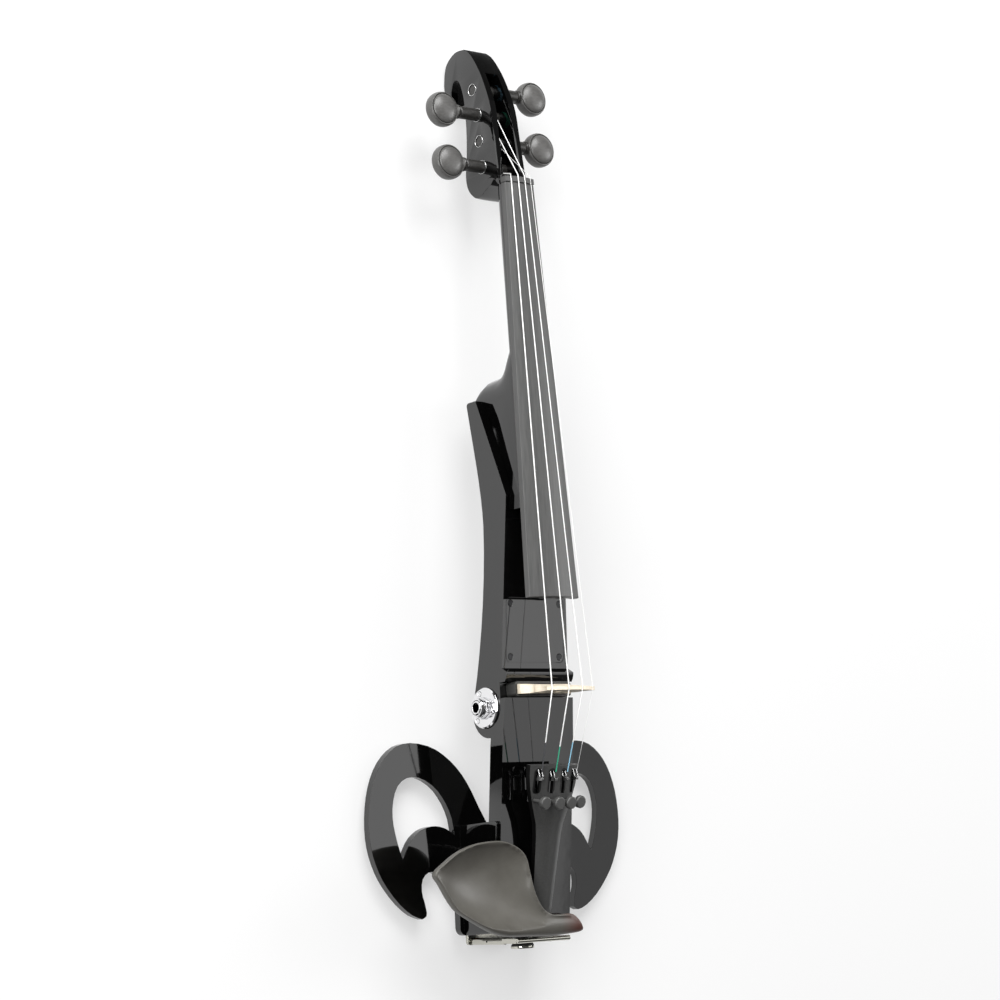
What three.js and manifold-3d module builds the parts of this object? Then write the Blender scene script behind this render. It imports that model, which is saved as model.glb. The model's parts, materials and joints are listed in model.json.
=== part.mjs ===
import * as THREE from 'three';
import { mergeVertices } from 'three/addons/utils/BufferGeometryUtils.js';
import Module from 'manifold-3d';

const wasm = await Module();
wasm.setup();

// An electric violin lying on its back, millimetres, head towards +Y, strings up.
// Lengths along the neck are measured from the nut edge of the fingerboard,
// depths are measured down from the plane of the outer strings at the nut.

// Fits; cuts run past a face by the overrun
const gap = 0.3;
const overrun = 2;
const weldReach = 1e-4;

// Sides of round pieces
const tinySides = 10;
const smallSides = 12;
const midSides = 18;
const bigSides = 28;
const hexSides = 6;
// Straight steps along a curve
const planSteps = 2;
const cornerSteps = 3;
const loopSteps = 4;
const arcSteps = 8;
const roundSteps = 10;
const shaftSteps = 12;
const halfTurn = 180;

// How the instrument lies: the back of the head and the clamp foot touch the ground
const lieDegrees = 3.2;

// Strings
const stringLength = 329;
const nutSpread = 16.5;
const bridgeSpread = 33.8;
const bridgeInnerRise = 11.1;
const nutInnerRise = 0.75;
const tailSpread = 28.8;
const afterLength = 45;
const stringRadii = { g: 0.42, d: 0.4, a: 0.35, e: 0.2 };

// Places along the instrument, measured from the bridge towards the tail
const fromBridge = {
  heelNose: -206.5,
  bodyTip: -191.5,
  heelEnd: -117,
  cover: -61.6,
  ridge: -17.3,
  channel: -8.6,
  jack: 5.8,
  bulgeEnd: 25.2,
  fullWidth: 31,
  block: 77,
  wingDatum: 98,
  chinFootEnd: 145.5,
  end: 146,
  chinTail: 150.6,
};

// Fingerboard and nut
const boardLengthShare = 0.8207;
const boardLength = stringLength * boardLengthShare;
const boardNutWidth = 24;
const boardEndWidth = 41;
const boardRadius = 42;
const boardEdgeDepth = 1.9;
const boardEdgeThickness = 4.3;
const boardHollowDepth = 2.6;
const boardHollowLength = 52;
const nutThickness = 5;
const nutRise = 0.7;

// Neck shaft, heel and head
const neckNutWidth = 22;
const neckHeelWidth = 25.4;
const neckNutDepth = 9.8;
const neckHeelDepth = 11;
const heelNoseFromNut = stringLength + fromBridge.heelNose;
const heelEndFromNut = stringLength + fromBridge.heelEnd;
const heelBackDepth = 47.6;
const cheekGrooveWidth = 7;
const headLength = 99;
const headTopWidth = 18.8;
const headRootWidth = 24;
const headBackDepth = 57.37;
const pegboxWall = 4.7;
const pegboxFloorDepth = 35;
const pegboxTopFromNut = 79;

// Pegs, nearest to the nut first: G and D on the bass side, E and A on the treble side
const pegPlaces = {
  g: { side: -1, fromNut: 15.5, depth: 24.2 },
  e: { side: 1, fromNut: 33.2, depth: 25.3 },
  d: { side: -1, fromNut: 51.2, depth: 26 },
  a: { side: 1, fromNut: 69.2, depth: 29 },
};
const pegThickRadius = 4.1;
const pegThinRadius = 3.7;
const pegWaistRadius = 3.3;
const pegCollarRadius = 5.2;
const pegCollarLength = 2.6;
const pegCollarReach = 28.5;
const pegHeadReach = 39.8;
const pegHeadRadius = 10.8;
const pegHeadThickness = 11.4;
const windingTurns = 3;
const windingPitch = 1.5;
const windingSteps = 24;
const windingStart = { g: -4.6, d: -3.8, a: -3.2, e: 3.5 };
const windingWay = { g: 1, d: 1, a: 1, e: -1 };

// Body: a slim beam with a ramped tip, a step before the bridge and a jack bulge
const bodyTipFromNut = stringLength + fromBridge.bodyTip;
const bodyTipWidth = 43;
const bodyFullWidth = 58.8;
const bodyFullFromNut = stringLength + fromBridge.fullWidth;
const bodyEndFromNut = stringLength + fromBridge.end;
const tipFrontDepth = 38;
const tipBackDepth = 46.9;
const rampLength = 65.5;
const deckTopDepth = 12.8;
const deckSlope = 0.1225;
const ridgeFromNut = stringLength + fromBridge.ridge;
const ridgeRise = 4.8;
const ridgeChamfer = 2.9;
const ridgeFall = 2.6;
const channelWidth = 10;
const channelFromNut = stringLength + fromBridge.channel;
const channelDepth = 5;
const lowerDeckDepth = 24.4;
const lowerDeckSlope = 0.16;
const waistBackDepth = 36.6;
const bulgeBackDepth = 57.2;
const bulgeEndFromNut = stringLength + fromBridge.bulgeEnd;
const plateThickness = 12.2;
const cornerRadius = 5;

// Front cover with its recess, pocket and screws
const coverFromNut = stringLength + fromBridge.cover;
const coverLength = 40.6;
const coverWidth = 47.4;
const coverThickness = 2.2;
const coverCorner = 3;
const coverScrewInset = 3.4;
const coverScrewRadius = 2;
const coverScrewLength = 8;
const pocketLength = 27;
const pocketWidth = 35;
const pocketDepth = 12;
const boardThick = 1.6;
const chipSize = 4.8;
const socketSize = 6.4;
const cellRadius = 10;
const cellHeight = 3.2;

// Bridge and its pickup base
const bridgeFootWidth = 41.5;
const bridgeFootThickness = 6.4;
const bridgeTopThickness = 1.8;
const bridgeTopWidth = 39.5;
const pickupLength = 46.4;
const pickupWidth = 9.4;
const pickupTopDepth = 19.9;
const pickupCorner = 2.2;

// Output jack on the bass flank
const jackFromNut = stringLength + fromBridge.jack;
const jackDepth = 43.7;
const jackPlateRadius = 13;
const jackPlateThickness = 1.6;
const jackBoreRadius = 3.18;
const jackNoseRadius = 6.15;
const jackNoseReach = 8.4;
const jackNutRadius = 7.2;
const jackNutThickness = 2.4;
const jackBarrelRadius = 4.6;
const jackBarrelDepth = 21;
const jackScrewCircle = 9.9;
const jackScrewRadius = 1.7;
const jackScrewLength = 7;

// End block under the tail of the body
const blockFromNut = stringLength + fromBridge.block;
const blockOverhang = 4;
const blockWidth = bodyFullWidth + blockOverhang;
const blockSideDrop = 2.7;
const blockHeight = 23.844;
const wingDatumFromNut = stringLength + fromBridge.wingDatum;

// Wing plate, its outline measured from the tail end and the centre line
const wingThickness = 5;
const wingSpan = 208.6;
const wingReach = 122;
const wingTabWidth = 70;
const wingScrewSpread = 36;
const wingScrewPitch = 36;
const wingScrewHeadRadius = 3.8;
const wingScrewLength = 14;

// Tailpiece and fine tuners
const tailpieceFromNut = stringLength + afterLength;
const tailpieceLength = 96;
const tailpieceTopWidth = 40;
const tailpieceEdgeDepth = 15.2;
const tailpieceSlope = 0.265;
const tailpieceCrown = 4.6;
const tailpieceEdge = 3.6;
const tailpieceShell = 3;
const slotWidth = 2.8;
const slotLength = 14.5;
const slotInset = 3;
const leverThickness = 1.8;
const leverPivotInset = 6.1;
const axleRadius = 0.7;
const leverRise = 4.4;
const leverDepth = 3.2;
const tunerFromTop = 22;
const tunerShaftRadius = 1.3;
const tunerKnobRadius = 4.1;
const tunerKnobThickness = 3.4;
const tunerReach = 10.4;

// Saddle, end button and tailgut
const saddleEndInset = 12.4;
const saddleWidth = bodyFullWidth - 2 * saddleEndInset;
const saddleThickness = 5;
const saddleRise = 3;
const saddleInset = 2.5;
const buttonDepth = 60.5;
const buttonRadius = 7.4;
const buttonNeckRadius = 4;
const buttonReach = 10.4;
const buttonShankRadius = 3.6;
const buttonShankLength = 22;
const tailgutRadius = 1;
const tailgutSpread = 9;
const tailgutSeat = 13;

// Chinrest: cup on the bass side, arm over the tailpiece, two feet on corks
const chinLength = 121;
const chinWidth = 60.4;
const chinReachInset = 1.4;
const chinReach = bodyFullWidth / 2 - chinReachInset;
const chinTailFromNut = stringLength + fromBridge.chinTail;
const chinRimDepth = 26;
const chinArmDepth = 31;
const chinBottomDepth = 43;
const chinArmBottomDepth = 37;
const chinFootDrop = 5;
const archHalf = 10.5;
const archDepth = 35;
const cupDepth = 11.5;
const chinFootInset = 2.4;
const chinFootWidth = 9.2;
const chinFootInner = bodyFullWidth / 2 - chinFootInset - chinFootWidth;
const chinFootLength = 7.6;
const chinFootEndFromNut = stringLength + fromBridge.chinFootEnd;
const corkThickness = 1.8;

// Clamp of the chinrest: two turnbuckles behind the tail
const clampSpread = 38;
const clampStandOff = 4.15;
const barrelRadius = 2.3;
const rodRadius = 1.5;
const tommyRadius = 0.8;
const bracketThickness = 2;
const bracketWidth = 44;
const tabWidth = 6;
const tabThickness = 3;
const tabLength = 14;
const rodOverlap = 12;
const footThickness = 2.4;
const footLength = 17;
const footWidth = 46;
const clampRise = 46.3;

const wood = { color: 0x0c0c0d, roughness: 0.12, metalness: 0 };
const ebony = { color: 0x2b2b2b, roughness: 0.5, metalness: 0 };
const moulded = { color: 0x3a3936, roughness: 0.45, metalness: 0 };
const maple = { color: 0xe8cfa4, roughness: 0.55, metalness: 0 };
const chrome = { color: 0xd8d9da, roughness: 0.15, metalness: 1 };
const steel = { color: 0xc4c6c8, roughness: 0.3, metalness: 1 };
const blackSteel = { color: 0x1c1c1c, roughness: 0.35, metalness: 0.6 };
const cork = { color: 0xa9794a, roughness: 0.9, metalness: 0 };
const silk = { color: 0x2d7fa6, roughness: 0.6, metalness: 0 };
const circuit = { color: 0x1f5a33, roughness: 0.5, metalness: 0 };
const fibre = { color: 0x1d3b2a, roughness: 0.5, metalness: 0 };

// Solids and frames

function solid(geometry) {
  const bare = geometry.index ? geometry.toNonIndexed() : geometry.clone();
  bare.deleteAttribute('normal');
  bare.deleteAttribute('uv');
  const merged = mergeVertices(bare, weldReach);
  const corners = Array.from(merged.index.array);
  const faces = [];
  for (let i = 0; i < corners.length; i += 3) {
    const [a, b, c] = corners.slice(i, i + 3);
    if (a !== b && b !== c && c !== a) faces.push(a, b, c);
  }
  const places = merged.attributes.position.array;
  return new wasm.Manifold(new wasm.Mesh({
    numProp: 3,
    vertProperties: new Float32Array(places),
    triVerts: new Uint32Array(signedVolume(places, faces) < 0 ? flipped(faces) : faces),
  }));
}

function signedVolume(places, faces) {
  const corner = (index) => new THREE.Vector3().fromArray(places, 3 * index);
  let total = 0;
  for (let i = 0; i < faces.length; i += 3) {
    total += corner(faces[i]).dot(corner(faces[i + 1]).cross(corner(faces[i + 2])));
  }
  return total;
}

function flipped(faces) {
  const reversed = [];
  for (let i = 0; i < faces.length; i += 3) reversed.push(faces[i], faces[i + 2], faces[i + 1]);
  return reversed;
}

function geometryOf(body) {
  const result = body.getMesh();
  const geometry = new THREE.BufferGeometry();
  geometry.setAttribute('position', new THREE.BufferAttribute(result.vertProperties, 3));
  geometry.setIndex(new THREE.BufferAttribute(result.triVerts, 1));
  return geometry.toNonIndexed();
}

function piece(parent, name, body, finish) {
  const geometry = geometryOf(body);
  geometry.computeVertexNormals();
  const mesh = new THREE.Mesh(geometry, new THREE.MeshStandardMaterial(finish));
  mesh.name = name;
  parent.add(mesh);
  return mesh;
}

const alongX = new THREE.Matrix4().makeBasis(
  new THREE.Vector3(0, 1, 0), new THREE.Vector3(0, 0, 1), new THREE.Vector3(1, 0, 0));
const alongY = new THREE.Matrix4().makeBasis(
  new THREE.Vector3(1, 0, 0), new THREE.Vector3(0, 0, 1), new THREE.Vector3(0, -1, 0));
const spinX = new THREE.Matrix4().makeBasis(
  new THREE.Vector3(0, 0, 1), new THREE.Vector3(1, 0, 0), new THREE.Vector3(0, 1, 0));
const spinY = new THREE.Matrix4();
const spinZ = new THREE.Matrix4().makeRotationX(Math.PI / 2);

// A side outline (y, z) run across the instrument, centred on x = 0
function across(shape, width, segments = 8) {
  const geometry = new THREE.ExtrudeGeometry(shape,
    { depth: width, bevelEnabled: false, curveSegments: segments });
  geometry.translate(0, 0, -width / 2);
  return solid(geometry.applyMatrix4(alongX));
}

// A plan outline (x, y) raised from a low z to a high z
function upward(shape, low, high, segments = 6) {
  const geometry = new THREE.ExtrudeGeometry(shape,
    { depth: high - low, bevelEnabled: false, curveSegments: segments });
  geometry.translate(0, 0, low);
  return solid(geometry);
}

// A front outline (x, z) run from one y towards the tail
function tailward(shape, start, length, segments = 6) {
  const geometry = new THREE.ExtrudeGeometry(shape,
    { depth: length, bevelEnabled: false, curveSegments: segments });
  geometry.applyMatrix4(alongY);
  geometry.translate(0, start, 0);
  return solid(geometry);
}

// A profile of [radius, height] pairs turned about an axis
function turned(profile, axis, segments = midSides) {
  const points = profile.map(([radius, height]) => new THREE.Vector2(radius, height));
  return solid(new THREE.LatheGeometry(points, segments).applyMatrix4(axis));
}

function rod(radius, low, high, axis, segments = midSides) {
  return turned([[0, low], [radius, low], [radius, high], [0, high]], axis, segments);
}

function block(width, length, height, x, y, z) {
  return solid(new THREE.BoxGeometry(width, length, height).translate(x, y, z));
}

function polygon(points) {
  return new THREE.Shape(points.map(([a, b]) => new THREE.Vector2(a, b)));
}

function roundedRect(width, length, radius, x, y) {
  const shape = new THREE.Shape();
  const left = x - width / 2;
  const right = x + width / 2;
  const low = y - length / 2;
  const high = y + length / 2;
  shape.moveTo(left + radius, low);
  shape.absarc(right - radius, low + radius, radius, -Math.PI / 2, 0);
  shape.absarc(right - radius, high - radius, radius, 0, Math.PI / 2);
  shape.absarc(left + radius, high - radius, radius, Math.PI / 2, Math.PI);
  shape.absarc(left + radius, low + radius, radius, Math.PI, 1.5 * Math.PI);
  return shape;
}

// A skin over rings of equal point counts, closed by a fan at each end
function loft(rings) {
  const count = rings[0].length;
  const places = [];
  const faces = [];
  rings.forEach((ring) => ring.forEach((point) => places.push(...point)));
  for (let row = 0; row < rings.length - 1; row += 1) {
    for (let column = 0; column < count; column += 1) {
      const a = row * count + column;
      const b = row * count + (column + 1) % count;
      faces.push(a, b, b + count, a, b + count, a + count);
    }
  }
  const fan = (ring, start, reverse) => {
    const hub = places.length / 3;
    for (let i = 0; i < 3; i += 1) {
      places.push(ring.reduce((sum, point) => sum + point[i], 0) / count);
    }
    for (let column = 0; column < count; column += 1) {
      const a = start + column;
      const b = start + (column + 1) % count;
      faces.push(hub, reverse ? b : a, reverse ? a : b);
    }
  };
  fan(rings[0], 0, true);
  fan(rings[rings.length - 1], (rings.length - 1) * count, false);
  const geometry = new THREE.BufferGeometry();
  geometry.setAttribute('position', new THREE.Float32BufferAttribute(places, 3));
  geometry.setIndex(faces);
  return solid(geometry);
}

// A round section of straight sides for a wire
function wireSection(radius, sides = 6) {
  return polygon(Array.from({ length: sides }, (_, i) => {
    const angle = (2 * Math.PI * i) / sides;
    return [radius * Math.cos(angle), radius * Math.sin(angle)];
  }));
}

// A round tube along a smooth curve through points
function tube(points, radius, steps) {
  const path = new THREE.CatmullRomCurve3(points.map((point) => new THREE.Vector3(...point)),
    false, 'centripetal');
  return solid(new THREE.ExtrudeGeometry(wireSection(radius),
    { steps, bevelEnabled: false, extrudePath: path }));
}

// A round strand with straight stretches between points, none of them running across
function strand(points, radius, sides = 8) {
  const vectors = points.map((point) => new THREE.Vector3(...point));
  return loft(vectors.map((point, i) => {
    const after = vectors[Math.min(i + 1, vectors.length - 1)];
    const before = vectors[Math.max(i - 1, 0)];
    const along = after.clone().sub(before).normalize();
    const side = new THREE.Vector3(1, 0, 0).addScaledVector(along, -along.x).normalize();
    const up = side.clone().cross(along);
    return Array.from({ length: sides }, (_, corner) => {
      const angle = (2 * Math.PI * corner) / sides;
      return point.clone().addScaledVector(side, radius * Math.cos(angle))
        .addScaledVector(up, radius * Math.sin(angle)).toArray();
    });
  }));
}

const lie = THREE.MathUtils.degToRad(lieDegrees);
const violin = new THREE.Group();
const instrument = new THREE.Group();
instrument.rotation.x = -lie;
violin.add(instrument);

// A place of the tilted instrument as it lies on level ground
function level(y, z) {
  return { y: y * Math.cos(lie) + z * Math.sin(lie), z: z * Math.cos(lie) - y * Math.sin(lie) };
}

// Strings over the nut and the bridge
const stringNames = ['g', 'd', 'a', 'e'];
const stringShares = [-1 / 2, -1 / 6, 1 / 6, 1 / 2];
const bridgeTopArc = (x) => {
  const top = bridgeInnerRise + boardRadius - Math.sqrt(boardRadius ** 2 - (bridgeSpread / 6) ** 2);
  return top - boardRadius + Math.sqrt(boardRadius ** 2 - x ** 2);
};

function stringAtNut(i) {
  const inner = i === 1 || i === 2;
  return [nutSpread * stringShares[i], 0, inner ? nutInnerRise : 0];
}

function stringAtBridge(i) {
  const x = bridgeSpread * stringShares[i];
  return [x, -stringLength, bridgeTopArc(x)];
}

// Fingerboard: a long wedge with a crowned top, hollow under its free end
const boardHalf = (fromNut) => {
  const share = fromNut / boardLength;
  return (boardNutWidth + (boardEndWidth - boardNutWidth) * share) / 2;
};
const crown = (half, x, radius) =>
  Math.sqrt(radius ** 2 - x ** 2) - Math.sqrt(radius ** 2 - half ** 2);
const boardBottomDepth = boardEdgeDepth + boardEdgeThickness;

function boardRing(fromNut) {
  const half = boardHalf(fromNut);
  const ring = [[-half, -fromNut, -boardBottomDepth], [half, -fromNut, -boardBottomDepth]];
  for (let i = 0; i <= arcSteps; i += 1) {
    const x = half * (1 - (2 * i) / arcSteps);
    ring.push([x, -fromNut, crown(half, x, boardRadius) - boardEdgeDepth]);
  }
  return ring;
}

function fingerboard() {
  const plank = loft([boardRing(0), boardRing(boardLength)]);
  const half = boardHalf(boardLength) - boardEdgeThickness;
  const scoop = new THREE.Shape();
  scoop.absellipse(0, -boardBottomDepth, half, boardHollowDepth, 0, 2 * Math.PI);
  return plank.subtract(tailward(scoop, -boardLength + boardHollowLength,
    boardHollowLength + overrun, roundSteps));
}
piece(instrument, 'fingerboard', fingerboard(), ebony);

// Body outlines
const deckDepth = (fromNut) =>
  deckTopDepth + deckSlope * (fromNut - bodyTipFromNut - rampLength);
const lowerDeck = (fromNut) =>
  lowerDeckDepth + lowerDeckSlope * (fromNut - channelFromNut - channelWidth);
const crestDepth = deckDepth(ridgeFromNut) - ridgeRise;
const channelFloor = crestDepth + ridgeFall + channelDepth;
const bodyTaper = (bodyFullWidth - bodyTipWidth) / 2 / (bodyFullFromNut - bodyTipFromNut);
const bodyHalf = (fromNut) =>
  bodyFullWidth / 2 - bodyTaper * Math.max(bodyFullFromNut - fromNut, 0);

// The back from the jack bulge over the waist to the tip, drawn towards the head:
// shares of each stretch and of its drop for the control points of two curves
const waistShare = 0.446;
const waistFromNut = (bodyTipFromNut + bulgeEndFromNut) * waistShare;
const bulgeShares = [[0.19, 0.59], [0.63, 0.04]];
const tipShares = [[0.3, 1], [0.66, 0.38], [0.9, 0.09]];
const flankShares = [0.43, 0.6];

function drawBack(shape) {
  const toWaist = jackFromNut - waistFromNut;
  const toTip = waistFromNut - bodyTipFromNut;
  const bulgeDrop = bulgeBackDepth - waistBackDepth;
  const tipDrop = tipBackDepth - waistBackDepth;
  const bulgePoints = bulgeShares.flatMap(([along, down]) =>
    [-(jackFromNut - along * toWaist), -(waistBackDepth + down * bulgeDrop)]);
  shape.bezierCurveTo(...bulgePoints, -waistFromNut, -waistBackDepth);
  const tipPoints = tipShares.flatMap(([along, down]) =>
    [-(waistFromNut - along * toTip), -(tipBackDepth - down * tipDrop)]);
  shape.bezierCurveTo(...tipPoints);
}

function bodySide() {
  const shape = new THREE.Shape();
  const end = -bodyEndFromNut;
  const blunt = (tipBackDepth - tipFrontDepth) / 4;
  shape.moveTo(-bodyTipFromNut, -tipFrontDepth);
  shape.lineTo(-bodyTipFromNut - rampLength, -deckTopDepth);
  shape.lineTo(-ridgeFromNut, -deckDepth(ridgeFromNut));
  shape.lineTo(-ridgeFromNut - ridgeChamfer, -crestDepth);
  shape.quadraticCurveTo(-(ridgeFromNut + channelFromNut) / 2 - ridgeChamfer / 2, -crestDepth,
    -channelFromNut, -crestDepth - ridgeFall);
  shape.lineTo(-channelFromNut, -channelFloor);
  shape.lineTo(-channelFromNut - channelWidth, -channelFloor);
  shape.lineTo(-channelFromNut - channelWidth, -lowerDeckDepth);
  shape.lineTo(end, -lowerDeck(bodyEndFromNut));
  shape.lineTo(end, -lowerDeck(bodyEndFromNut) - plateThickness);
  shape.lineTo(-bulgeEndFromNut, -lowerDeck(bulgeEndFromNut) - plateThickness);
  const fall = bulgeBackDepth - lowerDeck(bulgeEndFromNut) - plateThickness;
  const [rise, reach] = flankShares;
  shape.bezierCurveTo(-bulgeEndFromNut, -bulgeBackDepth + rise * fall,
    -(jackFromNut + reach * (bulgeEndFromNut - jackFromNut)), -bulgeBackDepth,
    -jackFromNut, -bulgeBackDepth);
  drawBack(shape);
  shape.lineTo(-bodyTipFromNut - blunt, -tipBackDepth);
  shape.quadraticCurveTo(-bodyTipFromNut, -tipBackDepth, -bodyTipFromNut, -tipBackDepth + blunt);
  return shape;
}

// The plan of the body, its tail corners rounded, drawn a given amount larger all round
function bodyPlan(grow) {
  const shape = new THREE.Shape();
  const tip = bodyHalf(bodyTipFromNut) + grow;
  const full = bodyFullWidth / 2 + grow;
  const end = -bodyEndFromNut - grow;
  shape.moveTo(-tip, -bodyTipFromNut + grow);
  shape.lineTo(-full, -bodyFullFromNut);
  shape.absarc(-full + cornerRadius, end + cornerRadius, cornerRadius, Math.PI, 1.5 * Math.PI);
  shape.absarc(full - cornerRadius, end + cornerRadius, cornerRadius, 1.5 * Math.PI, 2 * Math.PI);
  shape.lineTo(full, -bodyFullFromNut);
  shape.lineTo(tip, -bodyTipFromNut + grow);
  return shape;
}

// Heel: level sections from the fingerboard down, each a straight block with a round nose
const heelShares = [[0, 0.97], [0.14, 0.82], [0.22, 0.62], [0.28, 0.39], [0.35, 0.2],
  [0.45, 0.06], [0.57, 0.01], [0.8, 0], [0.9, -0.06], [0.96, -0.15], [1, -0.29]];
const heelTopDepth = boardBottomDepth + gap;
const heelHalf = (fromNut) => bodyHalf(fromNut) - cheekGrooveWidth;

function heelRing([depthShare, coveShare], grow) {
  const coveLength = heelEndFromNut - bodyTipFromNut - heelBackDepth + heelTopDepth;
  const nose = heelNoseFromNut - coveShare * coveLength;
  const z = -heelTopDepth - depthShare * (heelBackDepth - heelTopDepth);
  const half = heelHalf(bodyTipFromNut) + grow;
  const ring = [[heelHalf(heelEndFromNut) + grow, -heelEndFromNut, z]];
  for (let i = 0; i <= roundSteps; i += 1) {
    const angle = (Math.PI * i) / roundSteps;
    ring.push([half * Math.cos(angle),
      -bodyTipFromNut + (bodyTipFromNut - nose) * Math.sin(angle), z]);
  }
  ring.push([-heelHalf(heelEndFromNut) - grow, -heelEndFromNut, z]);
  return ring;
}

function heel() {
  const under = new THREE.Shape();
  under.moveTo(-jackFromNut, -bulgeBackDepth);
  drawBack(under);
  under.lineTo(-bodyTipFromNut, -tipBackDepth);
  under.lineTo(-heelNoseFromNut + heelBackDepth, -heelBackDepth);
  under.lineTo(-heelNoseFromNut + heelBackDepth, 0);
  under.lineTo(-jackFromNut, 0);
  return loft(heelShares.map((shares) => heelRing(shares, 0))).intersect(
    across(under, bodyFullWidth));
}

function heelMortise() {
  const tip = heelHalf(bodyTipFromNut - overrun) + gap;
  const root = heelHalf(heelEndFromNut) + gap;
  const start = -bodyTipFromNut + overrun;
  const end = -heelEndFromNut - gap;
  const plan = polygon([[-tip, start], [-root, end], [root, end], [tip, start]]);
  return upward(plan, -bulgeBackDepth, 0);
}

// Neck shaft: half-round behind, flat under the fingerboard
const shaftFullness = 0.8;

function shaftRing(fromNut) {
  const share = fromNut / heelNoseFromNut;
  const half = (neckNutWidth + (neckHeelWidth - neckNutWidth) * share) / 2;
  const depth = neckNutDepth + (neckHeelDepth - neckNutDepth) * share;
  const ring = [];
  for (let i = 0; i <= shaftSteps; i += 1) {
    const angle = (Math.PI * i) / shaftSteps;
    const roundness = Math.sin(angle) ** shaftFullness;
    ring.push([half * Math.cos(angle), -fromNut, -heelTopDepth - depth * roundness]);
  }
  return ring;
}

// Head: a side outline in shares of the head length and its back depth
const headFrontShares = [[0.075, 0.151], [0.32, 0.18], [0.54, 0.208], [0.727, 0.306],
  [0.848, 0.401], [0.947, 0.51], [0.995, 0.606]];
const headTopShares = [[1.001, 0.769], [0.955, 0.917], [0.894, 0.974], [0.808, 1]];
const hookShares = [[0.72, 0.99], [0.655, 0.955], [0.64, 0.92], [0.665, 0.886], [0.745, 0.876]];
const notchShares = [[0.8, 0.835], [0.812, 0.79], [0.785, 0.725], [0.69, 0.672], [0.6, 0.654]];
const headBackShares = [[0.434, 0.651], [0.262, 0.674], [0.14, 0.708], [0.054, 0.69],
  [-0.006, 0.63], [-0.062, 0.505], [-0.073, 0.37], [-0.055, 0.28]];

function headSide() {
  const point = ([along, down]) => new THREE.Vector2(along * headLength, -down * headBackDepth);
  const shape = new THREE.Shape();
  shape.moveTo(-gap, -heelTopDepth);
  shape.splineThru(headFrontShares.map(point));
  shape.splineThru(headTopShares.map(point));
  shape.splineThru(hookShares.map(point));
  shape.splineThru(notchShares.map(point));
  shape.splineThru(headBackShares.map(point));
  shape.lineTo(0, -heelTopDepth - neckNutDepth / 2);
  return shape;
}

const headHalf = (y) => (headRootWidth - (headRootWidth - headTopWidth) * (y / headLength)) / 2;

function headPlan(inset, from, to) {
  return polygon([[-headHalf(from) + inset, from], [headHalf(from) - inset, from],
    [headHalf(to) - inset, to], [-headHalf(to) + inset, to]]);
}

function pegProfile(grow, reach) {
  return [[0, -reach], [pegThinRadius + grow, -reach], [pegThickRadius + grow, reach], [0, reach]];
}

function head() {
  const widest = headRootWidth;
  let body = across(headSide(), 2 * widest, cornerSteps)
    .intersect(upward(headPlan(0, -widest, headLength + overrun), -headBackDepth - overrun, 0));
  const mouthStart = nutThickness + overrun / 2;
  body = body.subtract(upward(headPlan(pegboxWall, mouthStart, pegboxTopFromNut),
    -pegboxFloorDepth, overrun));
  for (const place of Object.values(pegPlaces)) {
    const bore = turned(pegProfile(gap, widest), spinX, smallSides);
    const turn = place.side > 0 ? 0 : halfTurn;
    body = body.subtract(bore.rotate([0, turn, 0]).translate([0, place.fromNut, -place.depth]));
  }
  return body;
}

function neck() {
  const shaft = loft([shaftRing(-nutThickness / 2), shaftRing(heelNoseFromNut)]);
  const headroom = block(boardNutWidth, nutThickness + 2 * gap, boardBottomDepth,
    0, (nutThickness + 2 * gap) / 2 - gap, -boardBottomDepth / 2 - gap);
  return head().add(shaft).add(heel()).subtract(headroom);
}
piece(instrument, 'neck', neck(), wood);

// Front cover in a recess of the upper deck, tilted with the deck
const deckTilt = Math.atan(deckSlope);
const coverMiddle = coverFromNut + coverLength / 2;
const onDeck = new THREE.Group();
onDeck.rotation.x = deckTilt;
onDeck.position.set(0, -coverMiddle, -deckDepth(coverMiddle));
instrument.add(onDeck);
const placedOnDeck = (body) => body
  .rotate([deckTilt * THREE.MathUtils.RAD2DEG, 0, 0])
  .translate([0, -coverMiddle, -deckDepth(coverMiddle)]);
const coverScrewPlaces = [[-1, 1], [1, 1], [-1, -1], [1, -1]].map(([side, along]) =>
  [side * (coverWidth / 2 - coverScrewInset), along * (coverLength / 2 - coverScrewInset)]);
const shankShare = 0.6;
const screwShank = (radius) => radius * shankShare;

function screwProfile(radius, length) {
  const shank = screwShank(radius);
  const headHeight = radius - shank;
  return [[0, -length], [shank, -length + shank], [shank, -headHeight], [radius, 0], [0, 0]];
}

function screwCut(radius, length) {
  const shank = screwShank(radius) + gap;
  const headHeight = radius + gap - shank;
  const floor = -length - gap;
  return [[0, floor], [shank, floor], [shank, -headHeight], [radius + gap, 0],
    [radius + gap, overrun], [0, overrun]];
}

function frontCover() {
  const plate = upward(roundedRect(coverWidth, coverLength, coverCorner, 0, 0),
    -coverThickness, 0, cornerSteps);
  return coverScrewPlaces.reduce((rest, [x, y]) => rest.subtract(
    turned(screwCut(coverScrewRadius, coverScrewLength), spinZ, smallSides).translate([x, y, 0])), plate);
}
piece(onDeck, 'front_cover', frontCover(), wood);
coverScrewPlaces.forEach(([x, y], i) => {
  const screw = turned(screwProfile(coverScrewRadius, coverScrewLength), spinZ, smallSides);
  piece(onDeck, `cover_screw_${i + 1}`, screw, blackSteel).position.set(x, y, 0);
});

// Preamplifier board and coin cell on the floor of the pocket
const boardWidth = pocketWidth - 2 * gap;
const boardLengthInPocket = pocketLength - 2 * gap;
const pocketFloor = -pocketDepth;

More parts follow.
